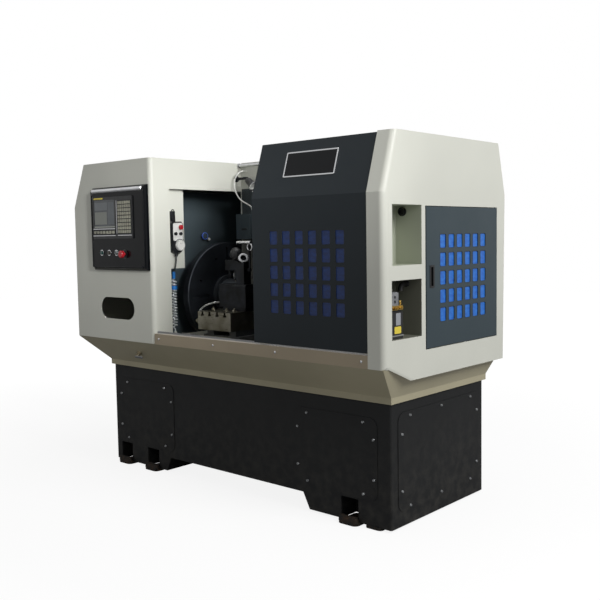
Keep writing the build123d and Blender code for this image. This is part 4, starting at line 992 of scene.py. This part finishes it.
lampHead = {
    "pivot": (-344, 80, 1645), "tilt": 126.87,
    # profile, segments and finish of what tilts with the lamp
    "tilted": {
        "body": ([(0, 9), (8, 9), (15, 14), (19, 24), (20, 34), (20, 50), (17, 52), (0, 52)],
                 32, "blackPlastic"),
        "shade": ([(17, 50), (22, 53), (32, 80), (31, 80), (20, 56), (15, 52), (17, 50)], 40, "blackPlastic"),
        "rim": ([(31, 80), (32.8, 80), (33.5, 84), (32.5, 85), (31, 82), (31, 80)], 40, "chrome"),
        "lens": ([(0, 70), (20, 70), (27, 74), (27, 71), (20, 67), (0, 66)], 32, "airTube"),
        "neck": ([(3.6, 6), (3.6, 10), (0, 10), (0, 6)], 16, "blackSteel"),
    },
    "knuckle": [(4.1, -4.5), (7, -4.5), (7, 4.5), (4.1, 4.5), (4.1, -4.5)],
}


def makeLampHead(values):
    pivot = Matrix.Translation(Vector(values["pivot"]) * mm)
    place = pivot @ Matrix.Rotation(radians(values["tilt"]), 4, "Y") @ Matrix.Scale(mm, 4)
    parts = [painted(turned(profile, segments), finish, place)
             for profile, segments, finish in values["tilted"].values()]
    parts.append(painted(turned(values["knuckle"], 24), "blackSteel",
                         pivot @ Matrix.Rotation(pi / 2, 4, "X") @ Matrix.Scale(mm, 4)))
    piece = addPiece("lampHead", joined(parts), "lamp")
    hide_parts("lamp_head")


makeLampHead(lampHead)
print("stage: trim made")


# Floor, world and lamps

stage = {
    # the sweep grows brighter away from the machine, until it meets the white background
    "floorHalf": 14, "floorTone": 0.36, "glowFrom": 1.6, "glowTo": 5.0, "glowNear": 1.46, "glowFar": 1.62,
    "glowShare": 0.6, "worldLight": 0.3, "worldShine": 0.55,
    "lamps": {
        "endSoftbox": {"place": (5.8, -0.2, 4.6), "power": 270, "size": 2.6},
        "topSoftbox": {"place": (0.3, -0.5, 5.6), "power": 40, "size": 2.5},
        "podSoftbox": {"place": (3.6, -2.1, 2.4), "power": 2.3, "size": 0.6, "aim": (-0.5, -0.45, 1.4),
                       "spread": 24},
    },
}


def seenRays(tree):
    # the rays of the light path, and whether the camera sees the surface, also through a pane
    path = addNode(tree, "ShaderNodeLightPath").outputs
    return path, calc(tree, "MAXIMUM", path["Is Camera Ray"], path["Is Transmission Ray"])


def makeFloor(values):
    mesh = bpy.data.meshes.new("floor")
    half = values["floorHalf"]
    signs = ((-1, -1), (1, -1), (1, 1), (-1, 1))
    mesh.from_pydata([(sx * half, sy * half, 0) for sx, sy in signs], [], [(0, 1, 2, 3)])
    floor = bpy.data.objects.new("floor", mesh)
    scene.collection.objects.link(floor)
    material = bpy.data.materials.new("paleStudioFloor")
    material.use_nodes = True
    tree = material.node_tree
    tree.nodes.clear()
    matt = addNode(tree, "ShaderNodeBsdfDiffuse", values={"Color": grey(values["floorTone"])})
    place = addNode(tree, "ShaderNodeTexCoord").outputs["Object"]
    away = addNode(tree, "ShaderNodeVectorMath", [(place, 0)], operation="LENGTH").outputs["Value"]
    reach = dict(enumerate((values[k] for k in ("glowFrom", "glowTo", "glowNear", "glowFar")), 1))
    strength = addNode(tree, "ShaderNodeMapRange", [(away, 0)], reach).outputs[0]
    glow = addNode(tree, "ShaderNodeEmission", [(strength, "Strength")], {"Color": grey(1.0)})
    share = calc(tree, "MULTIPLY", seenRays(tree)[1], values["glowShare"])
    mix = addNode(tree, "ShaderNodeMixShader", [(share, 0), (matt.outputs[0], 1), (glow.outputs[0], 2)])
    addNode(tree, "ShaderNodeOutputMaterial", [(mix.outputs[0], "Surface")])
    mesh.materials.append(material)


def makeWorld(values):
    world = bpy.data.worlds.new("studio")
    scene.world = world
    world.use_nodes = True
    tree = world.node_tree
    tree.nodes.clear()
    dim, white = (addNode(tree, "ShaderNodeBackground", values={"Color": grey(1.0), "Strength": strength})
                  for strength in (values["worldLight"], 1.0))
    path, seen = seenRays(tree)
    shine = calc(tree, "MULTIPLY", path["Is Glossy Ray"], values["worldShine"])
    links = [(calc(tree, "MAXIMUM", seen, shine), 0), (dim.outputs[0], 1), (white.outputs[0], 2)]
    mix = addNode(tree, "ShaderNodeMixShader", links)
    addNode(tree, "ShaderNodeOutputWorld", [(mix.outputs[0], "Surface")])


def makeLamps(lamps):
    for name, values in lamps.items():
        data = bpy.data.lights.new(name, "AREA")
        data.energy, data.size = values["power"], values["size"]
        data.spread = radians(values.get("spread", 180))
        lamp = bpy.data.objects.new(name, data)
        lamp.location = values["place"]
        aim = Vector(values.get("aim", (0, 0, 1.0))) - Vector(values["place"])
        lamp.rotation_euler = aim.to_track_quat("-Z", "Y").to_euler()
        scene.collection.objects.link(lamp)


makeFloor(stage)
makeWorld(stage)
makeLamps(stage["lamps"])
scene.view_settings.view_transform = "Standard"
print("stage: lights set")
